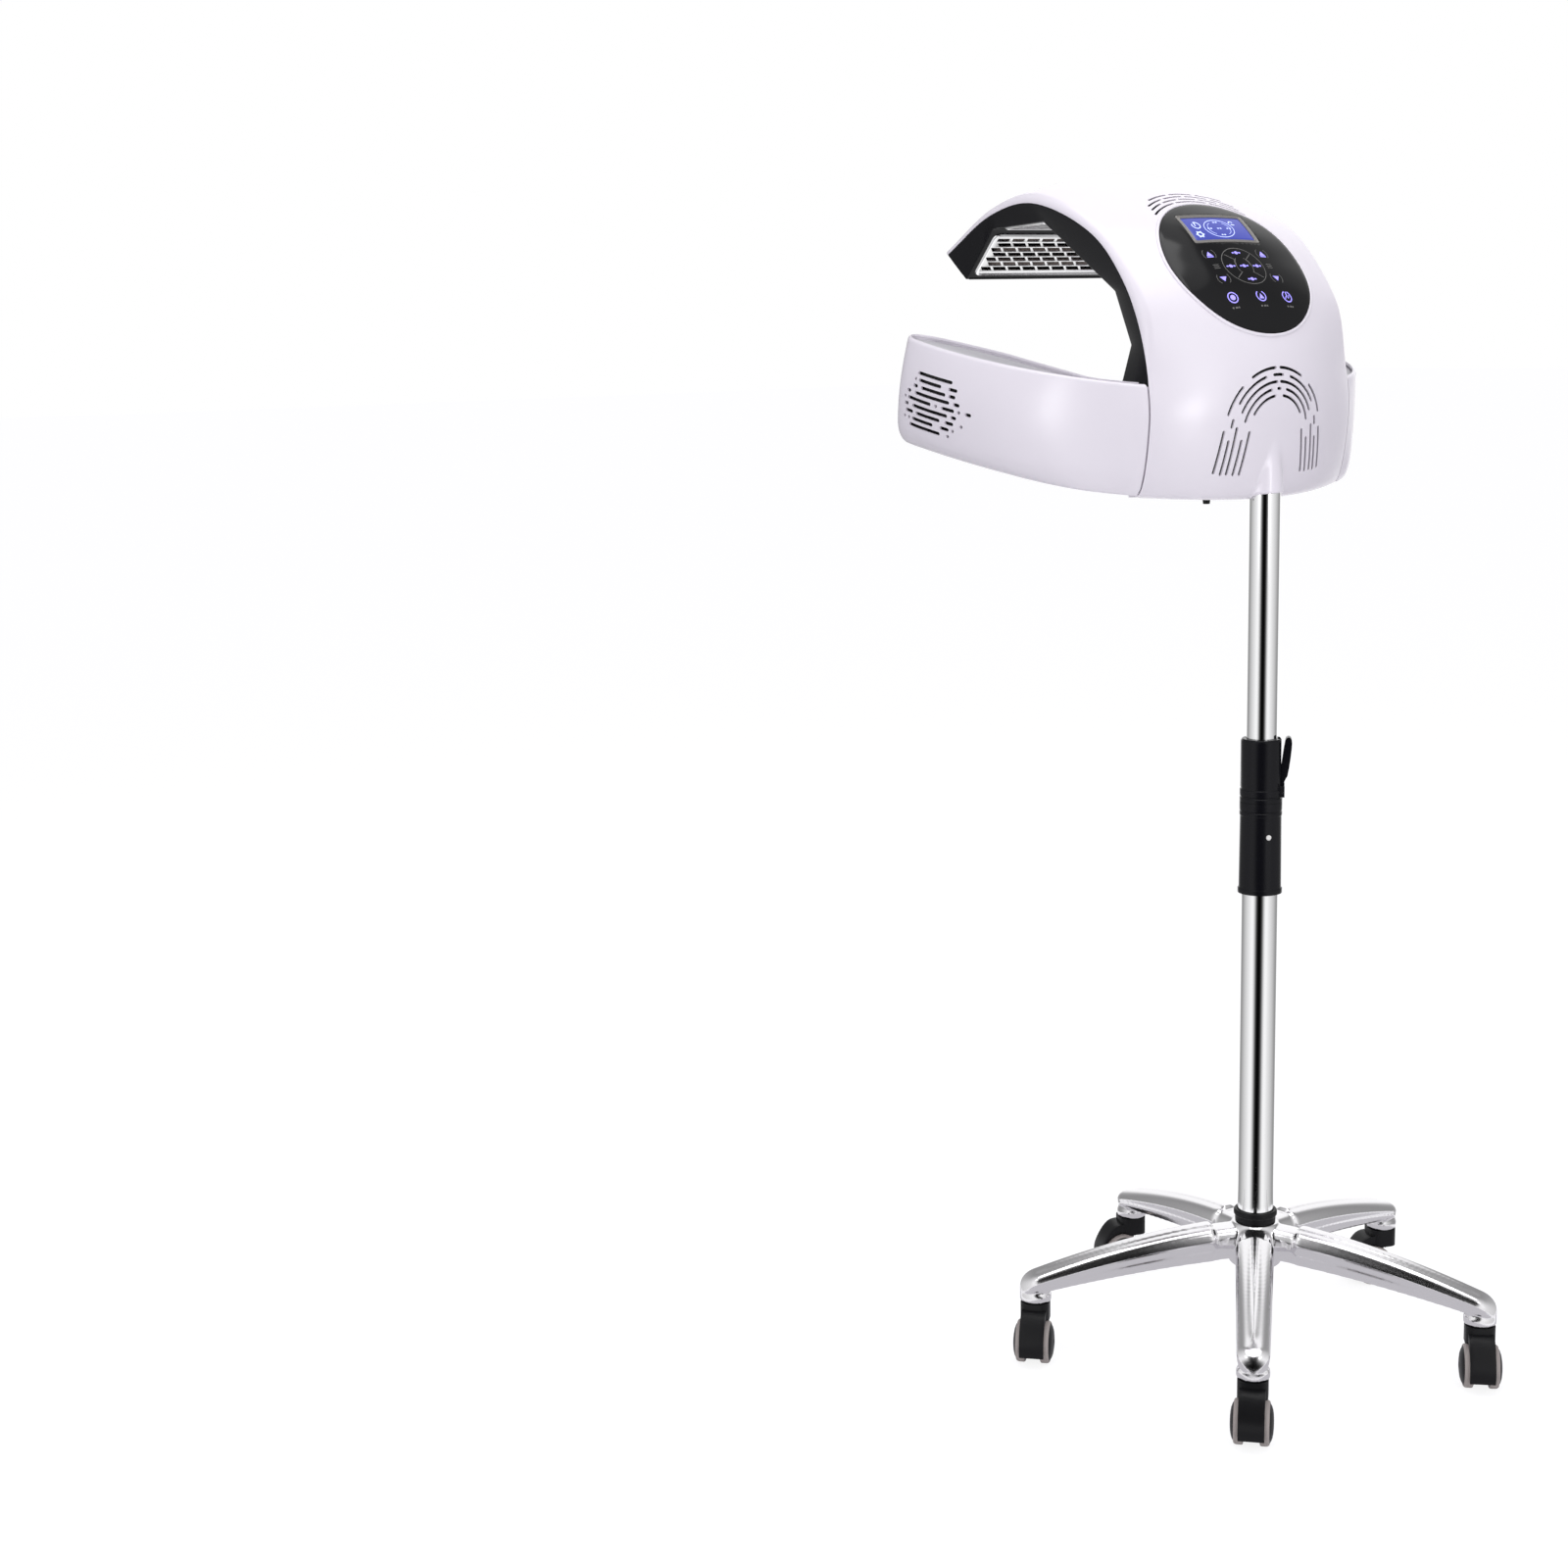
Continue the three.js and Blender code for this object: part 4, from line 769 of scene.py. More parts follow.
# %% Hood slots
ARCH_CENTRE, ARCH_SLOT = HEAD_BASE + 78, 3.3
RIM_START, RIM_PITCH, RIM_GAP, RIM_SLOT = PANEL_RADIUS + 9, 6.4, 3.2, 2.6
arch_arcs = [
    (70, [(93, 121), (135, 163)]), (62.3, [(84, 96), (107, 149), (167, 174)]), (54.6, [(93, 156)]),
    (47, [(88, 92), (104, 165)]), (39.4, [(99, 150)]),
]
arch_legs = [
    ((71, 79.5), (78, 35)), ((64.4, 69), (69.5, 33)), ((55.5, 83), (62.3, 33)), ((48.5, 69), (54, 32)),
    ((39, 78), (46, 32)),
]
arch_paths = []
for radius, arcs in arch_arcs:
    for start, end in arcs:
        path = arc_path(radius, start, end, (0, ARCH_CENTRE))
        arch_paths += [path] if start + end == 180 else [path, [(-a, b) for a, b in path]]
for leg in arch_legs:
    arch_paths += [[(side * a, HEAD_BASE + b) for a, b in leg] for side in (1, -1)]
upright = Matrix(((1, 0, 0, 0), (0, 0, -1, 0), (0, 1, 0, 0), (0, 0, 0, 1)))
cut(hood, bars([slot_outline(p, ARCH_SLOT) for p in arch_paths], -16, 60, upright))
rim_paths = []
for row, (reach, breaks) in enumerate(((41, 3), (37, 5), (34, 4), (27, 3))):
    pitch = 2 * reach / breaks
    for k in range(breaks):
        start = 90 - reach + pitch * k + RIM_GAP / 2
        rim_paths.append(arc_path(RIM_START + RIM_PITCH * row, start, start + pitch - RIM_GAP, step=4))
cut(hood, bars([slot_outline(p, RIM_SLOT) for p in rim_paths], -40, 30, panel_frame))
fit(smooth(hood, 32), "head", white_gloss, "white_plastic", "dome_shell")

# %% [markdown]
# A narrow gap parts each wing from the hood. A white strip behind the gap keeps the dark inside out of
# sight, so the seam stays a fine pale line. It hangs under the hood's wall and reaches under the wing's.

# %% Strip behind the seam
STRIP_ROWS, STRIP_COLUMNS = 40, 4
STRIP_LOW, STRIP_HIGH = 1.02, CORNER - 0.03
STRIP_BEHIND, STRIP_START, STRIP_WIDTH = 0.9, -3.5, 6.2


def seam_strip_point(i, j):
    s = STRIP_LOW + (STRIP_HIGH - STRIP_LOW) * i / STRIP_ROWS
    rim = skin(s, SEAM_HALF) - skin_normal(s, SEAM_HALF) * (WALL + INSET + STRIP_BEHIND)
    tangent = (skin(s, SEAM_HALF) - skin(s, SEAM_HALF - 2)).normalized()
    return rim + tangent * (STRIP_START + STRIP_WIDTH * j / STRIP_COLUMNS)


seam_strip = facing(sheet("seam_strip_r", STRIP_ROWS, STRIP_COLUMNS, seam_strip_point), (0.4, -1, 0))
smooth(walled(seam_strip, 0.5), 40)
for piece in (seam_strip, copied(seam_strip, "seam_strip_l", MIRROR)):
    fit(piece, "head", white_gloss, "white_plastic")

# %% [markdown]
# ## The black liner
# Under the hood sits a black channel with three flat facets that carry the heaters. Its side walls run
# from the hood's edge line down to the facets. Four points make its section, and a row of sections along
# the head makes the sheet; the facets stay flat because their corners are straight between stations.

# %% Liner channel
LINER_HALF, LINER_TOP = 137, 149.8
LINER_BLEND, LINER_TUCK, LINER_SINK = 0.7, 2.6, 1.3 * WALL
FRONT_ROWS, FRONT_COLUMNS, FRONT_THICK, FRONT_BACK = 6, 40, 2.0, 0.6
liner_corners = [
    (4 / 3, 88, 20), (2, 88, 100), (3, 86, 134), (11 / 3, 70, 176), (14 / 3, 98, 235), (7, 225, 316),
    (8, 319, 312), (9, 373, 255),
]


def liner_line(s):
    for (s0, y0, z0), (s1, y1, z1) in zip(liner_corners, liner_corners[1:]):
        if s <= s1 + 1e-9:
            t = (s - s0) / (s1 - s0)
            return Vector((y0 + (y1 - y0) * t, z0 + (z1 - z0) * t))


def liner_point(s, k):
    edge_point, foot = edge(s), liner_line(s)
    inward = (edge_point - crown(s)).normalized()
    beside_wing = 1 - smoothstep(s, CORNER, CORNER + LINER_BLEND)
    top = edge_point + inward * (FIT + 0.2 + LINER_SINK * beside_wing)
    half = LINER_TOP - LINER_TUCK * beside_wing
    y, z = (top, foot, foot, top)[k]
    return Vector(((-half, -LINER_HALF, LINER_HALF, half)[k], y, HEAD_BASE + z))


def liner_front(i, j):
    x = (j / FRONT_COLUMNS * 2 - 1) * (LINER_TOP - WALL - FIT)
    rise = clamp((abs(x) - LINER_HALF) / (LINER_TOP - LINER_HALF))
    foot = liner_line(LAST).lerp(edge(LAST), rise)
    top = skin(LAST - 0.01, x) - skin_normal(LAST - 0.01, x) * (WALL + 2 * FIT)
    foot = Vector((x, foot.x, HEAD_BASE + foot.y))
    return foot.lerp(top.lerp(foot, rise * 0.8), i / FRONT_ROWS) - Vector((0, FRONT_BACK, 0))


stations = sorted({round(4 / 3 + k / 12, 5) for k in range(93)} | {round(c[0], 5) for c in liner_corners})
stations = [s for i, s in enumerate(stations) if i == 0 or s - stations[i - 1] > 1e-3]
stations[-1] = LAST
liner = sheet("hood_liner", len(stations) - 1, 3, lambda i, k: liner_point(stations[i], k))
walled(facing(liner, (0, 0.3, -1)), WALL, even=True)
rounded(liner, 2.2, 4, 28)
front = facing(sheet("front_wall", FRONT_ROWS, FRONT_COLUMNS, liner_front), (0, 1, 0))
walled(front, FRONT_THICK)


# %% [markdown]
# Each heater window is a rounded opening in its facet, a little larger than the grille that fills it. The
# facet's frame has x across the head, y along the facet and z towards the skin.

# %% Heater windows
def facet_frame(first):
    start, end = (Vector((0, y, HEAD_BASE + z)) for _, y, z in liner_corners[first:first + 2])
    return frame_at(ACROSS, (end - start).normalized(), (start + end) / 2), (end - start).length


GRILLE_MARGIN = 7
GRILLE_WIDTH = 2 * (LINER_HALF - GRILLE_MARGIN)
facets = {name: facet_frame(first) for name, first in (("rear", 4), ("top", 5), ("front", 6))}
for matrix, length in facets.values():
    window = rounded_box(GRILLE_WIDTH + 2 * FIT, length - 2 * GRILLE_MARGIN + 2 * FIT, 9)
    cut(liner, bars([window], -8, WALL + 2, matrix))
liner = smooth(joined("hood_liner", liner, front), 30)
fit(liner, "head", black_gloss, "black_plastic", "dome_liner")

# %% [markdown]
# ## Grilles
# A grille is a stamped plate in a raised rounded frame. Its slots are slanted and staggered, with one row
# of long dashes along the top. The plate is modelled flat and then set on its facet.

# %% Grille plates
BORDER, PITCH_A, PITCH_B = 6.5, 22, 7.4
DASH, HOLE, SLANT = (0.40, 0.31), (0.42, 0.395), 2.6
PLATE_CORNER, PLATE_THICK = 8.5, 1.8
BEAD_STEPS, BEAD_INSET, BEAD_WIDE, BEAD_HIGH = 8, 2.6, 2.5, 1.9


def slant_slots(width, length, dashes):
    columns = max(3, round((width - 2 * BORDER) / PITCH_A))
    rows = max(3, round((length - 2 * BORDER) / PITCH_B))
    pitch_a, pitch_b = (width - 2 * BORDER) / columns, (length - 2 * BORDER) / rows
    slots = []
    for row in range(rows):
        b = -length / 2 + BORDER + pitch_b * (row + 0.5)
        long_row = dashes and row == 0
        shift = 0 if long_row else (0.25 if row % 2 else -0.25)
        lean = 0 if long_row else SLANT
        share_a, share_b = DASH if long_row else HOLE
        for column in range(columns):
            a = -width / 2 + BORDER + pitch_a * (column + 0.5 + shift)
            ha, hb = pitch_a * share_a, pitch_b * share_b
            over = abs(a) + ha + lean - (width / 2 - BORDER * 0.75)
            if over > 0:
                ha -= over / 2
                a -= math.copysign(over / 2, a)
            slots.append([
                (a - ha - lean, b - hb), (a + ha - lean, b - hb),
                (a + ha + lean, b + hb), (a - ha + lean, b + hb),
            ])
    return slots


def grille(name, width, length, dashes=True):
    outer = rounded_box(width, length, PLATE_CORNER)
    plate = extruded(name, outer, 0, PLATE_THICK)
    cut(plate, bars(slant_slots(width, length, dashes), -3, 5))
    rounded(plate, 0.35, 2, 50)

    def bead(i, k):
        a, b = outer[i % len(outer)]
        angle = 2 * math.pi * k / BEAD_STEPS
        share = 1 - (BEAD_INSET + BEAD_WIDE * math.cos(angle)) / math.hypot(a, b)
        return (a * share, b * share, 0.2 - BEAD_HIGH * math.sin(angle))
    frame_bead = cleaned(sheet("bead", len(outer), BEAD_STEPS, bead))
    plate.data.materials.append(stamped)
    frame_bead.data.materials.append(chrome)
    return smooth(joined(name, plate, frame_bead), 40)


# %% Heater rods and the hood's grilles
ROD_BEHIND = 9
front_matrix, front_length = facets["front"]
rod = turned("rod", [
    (0, -108), (3.2, -108), (3.2, -100), (4.2, -99), (4.2, 99), (3.2, 100), (3.2, 108), (0, 108),
], 24)
rods = [
    copied(rod, "rod", front_matrix @ place_mm(0, k * front_length / 4, ROD_BEHIND) @ turn_about("Y", 90))
    for k in (-1, 0, 1)
]
remove(rod)
fit(smooth(joined("front_heater_rods", *rods), 40), "head", ceramic, "emitter", "heater_front")
for name, (matrix, length) in facets.items():
    plate = grille(f"{name}_grille", GRILLE_WIDTH, length - 2 * GRILLE_MARGIN, name == "front")
    fit(moved(plate, matrix), "head", chrome, "chrome", f"grille_{name}")

# %% [markdown]
# ## Wings
# Each wing is a tub that runs on from the hood's side and tapers to a round nose. Its outline is given by
# pairs of points on the outer and the inner wall, from the seam. Going down, the walls swell, tuck in at
# the bottom, and hang square to the tilted top. At the root the outer wall follows the hood's edge line.

# %% Wing outline
TILT = math.radians(11)
WING_HEIGHT, WING_BULGE, UNDER_RADIUS, FULL_THICK = 125, 12, 28, 65
SEAM_GAP = 1.6
ROOT, ROOT_BACK = SEAM_HALF + SEAM_GAP, 12
INNER_TUCK, TIP_LEAD, TIP_SIDE = 0.2, 0.5, 0.2
wing_pairs = [
    ((0, 25), (0, 43)), ((25, 39), (18, 54)), ((54, 65), (38, 76)), ((81, 103), (42, 112)),
    ((102, 152), (46, 164)), ((116, 212), (50, 215)), ((120, 268), (62, 272)), ((114, 314), (76, 318)),
]
wing_tip = (95, 334)
wing_top = HEAD_BASE + edge(CORNER).y - edge(CORNER).x * math.tan(TILT)


def swell(depth):
    share = depth / WING_HEIGHT
    under = clamp((depth - WING_HEIGHT + UNDER_RADIUS) / UNDER_RADIUS)
    return 4 * WING_BULGE * share * (1 - share) - UNDER_RADIUS * (1 - math.sqrt(1 - under ** 2))


def edge_forward(z):
    return edge(bisected(1.0, float(CORNER), lambda s: HEAD_BASE + edge(s).y < z)).x


def wing_point(x, y, depth, lean):
    z = wing_top + y * math.tan(TILT) - depth * math.cos(TILT)
    return Vector((-SEAM_HALF - x, y + depth * math.sin(TILT) * lean, z))


def wing_loop(depth, inset):
    """The closed curve round a wing at a depth under its top, and how many points it passes"""
    outer, inner = [], []
    for station, ((ox, oy), (ix, iy)) in enumerate(wing_pairs):
        lean = min(1, station / 3)
        away = Vector((ox - ix, oy - iy))
        share = min(1, away.length / FULL_THICK)
        away.normalize()
        out = swell(depth) * share - inset
        tuck = INNER_TUCK * min(0, swell(depth)) * share - inset
        outer.append(wing_point(ox + away.x * out, oy + away.y * out, depth, lean))
        inner.append(wing_point(ix - away.x * tuck, iy - away.y * tuck, depth, max(lean, 0.3)))
    height = outer[0].z
    slope = (wing_pairs[1][0][1] - wing_pairs[0][0][1]) / wing_pairs[1][0][0]
    outer[0] = Vector((-SEAM_HALF, edge_forward(height) + 1.15 * inset, height))
    for wall in (outer, inner):
        wall.insert(0, wall[0] + Vector((ROOT_BACK, -ROOT_BACK * slope, 0)))
    lead = min(0, swell(depth)) * TIP_LEAD - inset
    tip = wing_point(wing_tip[0] + TIP_SIDE * lead, wing_tip[1] + lead, depth, 1)
    return spline(outer + [tip] + inner[::-1], closed=True), 2 * len(outer) + 1


# %% [markdown]
# The tub starts as a grid wrapped round these outlines. The bottom ring is filled, the root is cut off
# flat with a bisect, and solidify gives the wall. Then come the heater window and the side vents: nine
# rows of slanted dashes that fill a hexagon.

# %% Wing tub
AROUND, WING_INSET, RIM_ROUND = 190, 0.5, 3.5


def rim_round(depth):
    """How far the wall draws in near its top, as a quarter circle"""
    short = max(0, RIM_ROUND - depth)
    return RIM_ROUND - math.sqrt(RIM_ROUND ** 2 - short ** 2)


depths = [0, 0.12, 0.4, 0.9, 1.6, 2.5, RIM_ROUND] + [WING_HEIGHT * k / 30 for k in range(1, 24)]
depths += [WING_HEIGHT * (0.78 + 0.22 * math.sin(math.pi / 2 * k / 16)) for k in range(1, 17)]
loops = [wing_loop(depth, WING_INSET + rim_round(depth)) for depth in depths]


def tub_point(i, j):
    curve, spans = loops[i]
    return curve(spans * (j % AROUND) / AROUND)


def trim_root(fill=False):
    bpy.ops.mesh.select_all(action="SELECT")
    bpy.ops.mesh.bisect(plane_co=(-ROOT * MM, 0, 0), plane_no=(1, 0, 0), clear_outer=True, use_fill=fill)


def select_edges(piece, test):
    """Selects, in edit mode, the edges whose ends both pass a test on their place"""
    bpy.ops.mesh.select_all(action="DESELECT")
    bpy.ops.object.mode_set(mode="OBJECT")
    points = piece.data.vertices
    for vertex in points:
        vertex.select = test(vertex.co / MM)
    for line in piece.data.edges:
        line.select = all(points[i].select for i in line.vertices)
    bpy.ops.object.mode_set(mode="EDIT")


def close_tub():
    bpy.ops.mesh.remove_doubles(threshold=MERGE)
    bpy.ops.mesh.select_mode(type="EDGE")
    bottom = {tuple(round(c, 2) for c in tub_point(-1, j)) for j in range(AROUND)}
    select_edges(tub, lambda p: tuple(round(c, 2) for c in p) in bottom)
    bpy.ops.mesh.edge_face_add()
    bpy.ops.mesh.select_mode(type="VERT")
    bpy.ops.mesh.select_all(action="SELECT")
    bpy.ops.mesh.normals_make_consistent(inside=False)
    trim_root()


tub = sheet("wing_tub_l", len(depths) - 1, AROUND, tub_point)
edit(tub, close_tub)
if min(tub.data.polygons, key=lambda face: face.center.x).normal.x > 0:
    tub.data.flip_normals()
walled(tub, WALL, even=True)
edit(tub, lambda: trim_root(fill=True))
rounded(tub, 0.8, 3, 55)

# %% Wing window and vents
WING_GRILLE = (100, 76)
VENT_MIDDLE, VENT_PITCH, VENT_SLOT, VENT_TRIM = 238, 7.6, 4.0, 1.8
wing_frame = Matrix.Rotation(TILT, 4, "X")
wing_frame.translation = (0, 0, wing_top * MM)
(x0, y0), (x1, y1) = wing_pairs[3][1], wing_pairs[5][1]
wall_along = Vector((x0 - x1, (y1 - y0) / math.cos(TILT), 0)).normalized()
wall_middle = (-SEAM_HALF - (x0 + x1) / 2, (y0 + y1) / 2 / math.cos(TILT), -WING_HEIGHT * 0.46)
wall_frame = wing_frame @ frame_at(wall_along, (0, 0, 1), wall_middle)
window = rounded_box(WING_GRILLE[0] + 2 * FIT, WING_GRILLE[1] + 2 * FIT, 6)
cut(tub, bars([window], -12, 12, wall_frame), solver="MANIFOLD")
vent_rows = [
    [(-24, 38)], [(-34, -20), (-8, 34), (39, 42)], [(-33, -22), (-17, 27), (34, 43)],
    [(-41, -31), (-25, 38), (47, 55)], [(-59, -50), (-42, -40), (-34, -13), (-5, -3), (5, 52), (57, 59)],
    [(-38, -29), (-24, 41), (50, 58)], [(-47, -45), (-34, -20), (-12, 33), (39, 55)],
    [(-34, -32), (-27, -12), (0, 41), (46, 48), (56, 58)], [(-26, -24), (-12, 47)],
]
vent_paths = []
for row, dashes in enumerate(vent_rows):
    level = -WING_HEIGHT * 0.5 + VENT_PITCH * (4 - row)
    for start, end in dashes:
        trim = min(VENT_TRIM, (end - start) / 2 - 0.3)
        vent_paths.append([(VENT_MIDDLE + start + trim, level), (VENT_MIDDLE + end - trim, level)])
sideways = Matrix(((0, 0, 1, 0), (1, 0, 0, 0), (0, 1, 0, 0), (0, 0, 0, 1)))
vent_slots = [slot_outline(p, VENT_SLOT) for p in vent_paths]
cut(
    tub, bars(vent_slots, -SEAM_HALF - 160, -SEAM_HALF - 92, wing_frame @ sideways), solver="MANIFOLD",
)
fit_wings(smooth(tub, 30), white_gloss, "white_plastic", "wing_shell")

# %% [markdown]
# The grey lid lies a little below the tub's rim, so a thin white lip shows round it. It is one flat
# outline, extruded and rounded.

# %% Wing lids and wing grilles
LID_DEPTH, LID_THICK, LID_STEPS = 5.6, 3, 150
curve, spans = wing_loop(LID_DEPTH, WALL + 2 * FIT + WING_INSET)
lid_ring = [curve(spans * k / LID_STEPS) for k in range(LID_STEPS)]
lid = raised(ring_of_points("wing_lid_l", lid_ring, "NGON"), -LID_THICK)
edit(lid, lambda: trim_root(fill=True))
rounded(lid, 0.8, 3, 50)
fit_wings(smooth(lid, 40), grey_satin, "grey_plastic", "wing_cap")
wing_plate = grille("wing_grille_plate_l", *WING_GRILLE, dashes=False)
half_turn = turn_about("X", 0 if wall_frame.to_3x3().col[2].x < 0 else 180)
fit_wings(moved(wing_plate, wall_frame @ half_turn), chrome, "chrome", "wing_grille")

# %% [markdown]
# ## Touch panel
# The panel is a glossy black disc that follows the hood's curve and stands slightly proud. A white lip on
# the hood frames it. The grid is polar, so its rim is a true circle, and its centre points are merged.

# %% Panel disc and lip
PANEL_RINGS, PANEL_STEPS = 20, 96
LIP_STEPS, LIP_AROUND, LIP_RADIUS, LIP_WIDE, LIP_HIGH = 120, 8, PANEL_RADIUS + 2.3, 1.7, 1.1
LCD_WIDTH, LCD_HEIGHT, LCD_BORDER, LCD_CENTRE, LCD_CORNER = 98, 48, 5, 50, 3


def panel_point(i, j):
    return on_panel(*polar(PANEL_RADIUS * i / PANEL_RINGS, 2 * math.pi * j / PANEL_STEPS), PANEL_PROUD)


def lip_point(i, k):
    turn = 2 * math.pi * k / LIP_AROUND
    radius = LIP_RADIUS + LIP_WIDE * math.cos(turn)
    return on_panel(*polar(radius, 2 * math.pi * i / LIP_STEPS), 0.2 + LIP_HIGH * math.sin(turn))


panel = cleaned(sheet("touch_panel", PANEL_RINGS, PANEL_STEPS, panel_point))
walled(facing(panel, panel_out), PANEL_THICK)
lcd_hole = [(a, b + LCD_CENTRE) for a, b in rounded_box(LCD_WIDTH, LCD_HEIGHT, LCD_CORNER)]
cut(panel, bars([lcd_hole], -30, 30, panel_frame))
rounded(panel, 0.6, 3, 45)
fit(smooth(panel, 35), "head", panel_black, "panel_gloss", "control_panel")
lip = smooth(cleaned(sheet("panel_lip", LIP_STEPS, LIP_AROUND, lip_point)), 60)
fit(lip, "head", white_gloss, "white_plastic")

# %% [markdown]
# The display has a raised frame with two fine edges round a blue back-lit window. Its section is a list of
# insets and heights, swept round rounded rectangles whose points are spread evenly, so that they follow the
# curved skin.

# %% Display
BEZEL_STEPS = 120
SCREEN_ROWS, SCREEN_COLUMNS, SCREEN_LIFT = 12, 24, 0.1
bezel_profile = [
    (0.3, -2.2), (0.3, 1.2), (1.0, 1.6), (1.8, 1.2), (2.4, 0.7), (3.4, 0.7), (4.0, 1.1), (4.6, 0.9),
    (5.0, 0.3), (5.0, -2.2),
]


def even_ring(inset):
    """A rounded rectangle inside the display's outline, with evenly spread points"""
    corners = rounded_box(LCD_WIDTH - 2 * inset, LCD_HEIGHT - 2 * inset, max(0.6, LCD_CORNER - 0.4 * inset))
    corners = [(a, b + LCD_CENTRE) for a, b in corners + corners[:1]]
    lengths = [0.0]
    for start, end in zip(corners, corners[1:]):
        lengths.append(lengths[-1] + math.dist(start, end))
    points, i = [], 0
    for k in range(BEZEL_STEPS):
        target = lengths[-1] * k / BEZEL_STEPS
        while lengths[i + 1] < target:
            i += 1
        t = (target - lengths[i]) / (lengths[i + 1] - lengths[i])
        (a0, b0), (a1, b1) = corners[i], corners[i + 1]
        points.append((a0 + (a1 - a0) * t, b0 + (b1 - b0) * t))
    return points


bezel_rings = [even_ring(inset) for inset, _ in bezel_profile]


def bezel_point(i, k):
    k %= len(bezel_profile)
    return on_panel(*bezel_rings[k][i % BEZEL_STEPS], bezel_profile[k][1])


def screen_point(i, j):
    a = (j / SCREEN_COLUMNS - 0.5) * (LCD_WIDTH - 2 * LCD_BORDER - 2 * FIT)
    b = (i / SCREEN_ROWS - 0.5) * (LCD_HEIGHT - 2 * LCD_BORDER - 2 * FIT) + LCD_CENTRE
    return on_panel(a, b, SCREEN_LIFT)


bezel = smooth(cleaned(sheet("display_frame", BEZEL_STEPS, len(bezel_profile), bezel_point)), 40)
fit(bezel, "head", bezel_grey, "black_plastic", "lcd_bezel")
screen = facing(sheet("display_window", SCREEN_ROWS, SCREEN_COLUMNS, screen_point), panel_out)
rounded(walled(screen, 2), 0.3, 2, 50)
fit(smooth(screen, 35), "head", screen_blue, "lcd_screen", "lcd_glass")


# %% [markdown]
# Marks on the window and on the keys are thin lines and patches laid on the curved surface, each a small
# sheet of its own. A line is a path on the panel with a width.

# %% Lines and patches
MARK_THICK = 0.25
ON_PANEL, ON_SCREEN = PANEL_PROUD + 0.14, 0.24


def strip(path, width, lift):
    """A thin raised line along a path; a path that ends where it starts is a closed ring"""
    last = len(path) - 1
    closed = math.dist(path[0], path[last]) < 1e-6

    def place(i, k):
        before = path[i - 1 if i else (last - 1 if closed else 0)]
        after = path[i + 1 if i < last else (1 if closed else last)]
        da, db = after[0] - before[0], after[1] - before[1]
        side = (k - 0.5) * width / math.hypot(da, db)
        return on_panel(path[i][0] - db * side, path[i][1] + da * side, lift)
    return facing(sheet("strip", last, 1, place), panel_out)


def patch(outline, lift):
    return facing(ring_of_points("patch", [on_panel(a, b, lift) for a, b in outline], "NGON"), panel_out)


def oval(a, b, ra, rb, start=0, end=360, step=9):
    return [(a + ra * p, b + rb * q) for p, q in arc_path(1, start, end, step=step)]


def marks(name, material, slot, lift, lines, patches=()):
    pieces = [strip(path, width, lift) for path, width in lines]
    pieces += [patch(outline, lift) for outline in patches]
    fit(cleaned(walled(joined(name, *pieces), MARK_THICK)), "head", material, slot)


# %% Dim lines round the keys
PAD, KEY, ROUND_KEY = (0, -10.5), 39.5, (40.5, -54)
CAPTION, CAPTION_LEVEL = ((0, 3.2), (4.1, 4.6), (8.2, 2.4)), -66.5
dim = [(oval(*PAD, 29, 27), 0.8)]
for angle in (45, 135, 225, 315):
    p, q = polar(1, math.radians(angle))
    sag = 0.144 if q < 0 else -0.144
    spoke = [(PAD[0] + p * r * 1.02, PAD[1] + q * r + sag * (r - 20)) for r in (11, 14, 17, 20, 23, 26.5)]
    dim.append((spoke, 0.8))
for side in (-1, 1):
    high, out, key = 90 - 62 * side, 90 - 90 * side, KEY * side
    dim.append((oval(*PAD, 10.5, 14, high - 28, high + 28), 0.6))
    dim.append((oval(PAD[0] + 3 * side, PAD[1], 8.5, 13, out - 48, out + 48), 0.6))
    for level, turn in ((8.5, 90), (-27.5, 270)):
        for start in (turn - 128, turn + 40):
            dim.append((oval(key, level, 8.6, 8.6, start, start + 88), 0.6))
    for level in (-7.2, -9.8, -12.4):
        dim.append(([(key - 4, level), (key + 4, level)], 0.7))
for a in (-ROUND_KEY[0], 0, ROUND_KEY[0]):
    for shift, length in CAPTION:
        start = a - 5.6 + shift
        dim.append(([(start, CAPTION_LEVEL), (start + length * 0.72, CAPTION_LEVEL)], 2.0))
marks("key_lines", mark_dim, "panel_gloss", ON_PANEL, dim)

# %% Lit key marks
lines = [
    (oval(-ROUND_KEY[0], ROUND_KEY[1], 6.4, 6.4), 1.3),
    (oval(0, ROUND_KEY[1], 6.4, 6.4, 60, -240), 1.3),
    (oval(*ROUND_KEY, 6.6, 6.6, 110, 430), 1.3),
    ([(40.5, -47.6), (40.5, -53.6)], 1.4),
    ([(36.6, -57.0), (39.4, -53.2), (41.8, -56.2), (44.6, -51.6)], 1.0),
]
patches = [
    oval(-ROUND_KEY[0], ROUND_KEY[1], 3.4, 3.4, step=24)[:-1],
    [(-3.4, -57.4), (3.4, -57.4), (0, -50.6)],
]
for a, b in ((0, 9.5), (0, -10.5), (0, -30.5), (-19.5, -10.5), (19.5, -10.5)):
    patches.append(oval(a, b, 2.6, 2.3, step=30)[:-1])
    lines += [([(a + side * 3.4, b), (a + side * 6.2, b)], 1.8) for side in (-1, 1)]
for a in (-KEY, KEY):
    patches += [
        [(a - 4.4, 6.4), (a + 4.4, 6.4), (a, 12.6)],
        [(a - 4.4, 4.2), (a + 4.4, 4.2), (a + 4.4, 5.6), (a - 4.4, 5.6)],
        [(a, -31.8), (a + 4.6, -25.2), (a - 4.6, -25.2)],
    ]
marks("lit_keys", key_lavender, "panel_gloss", ON_PANEL, lines, patches)

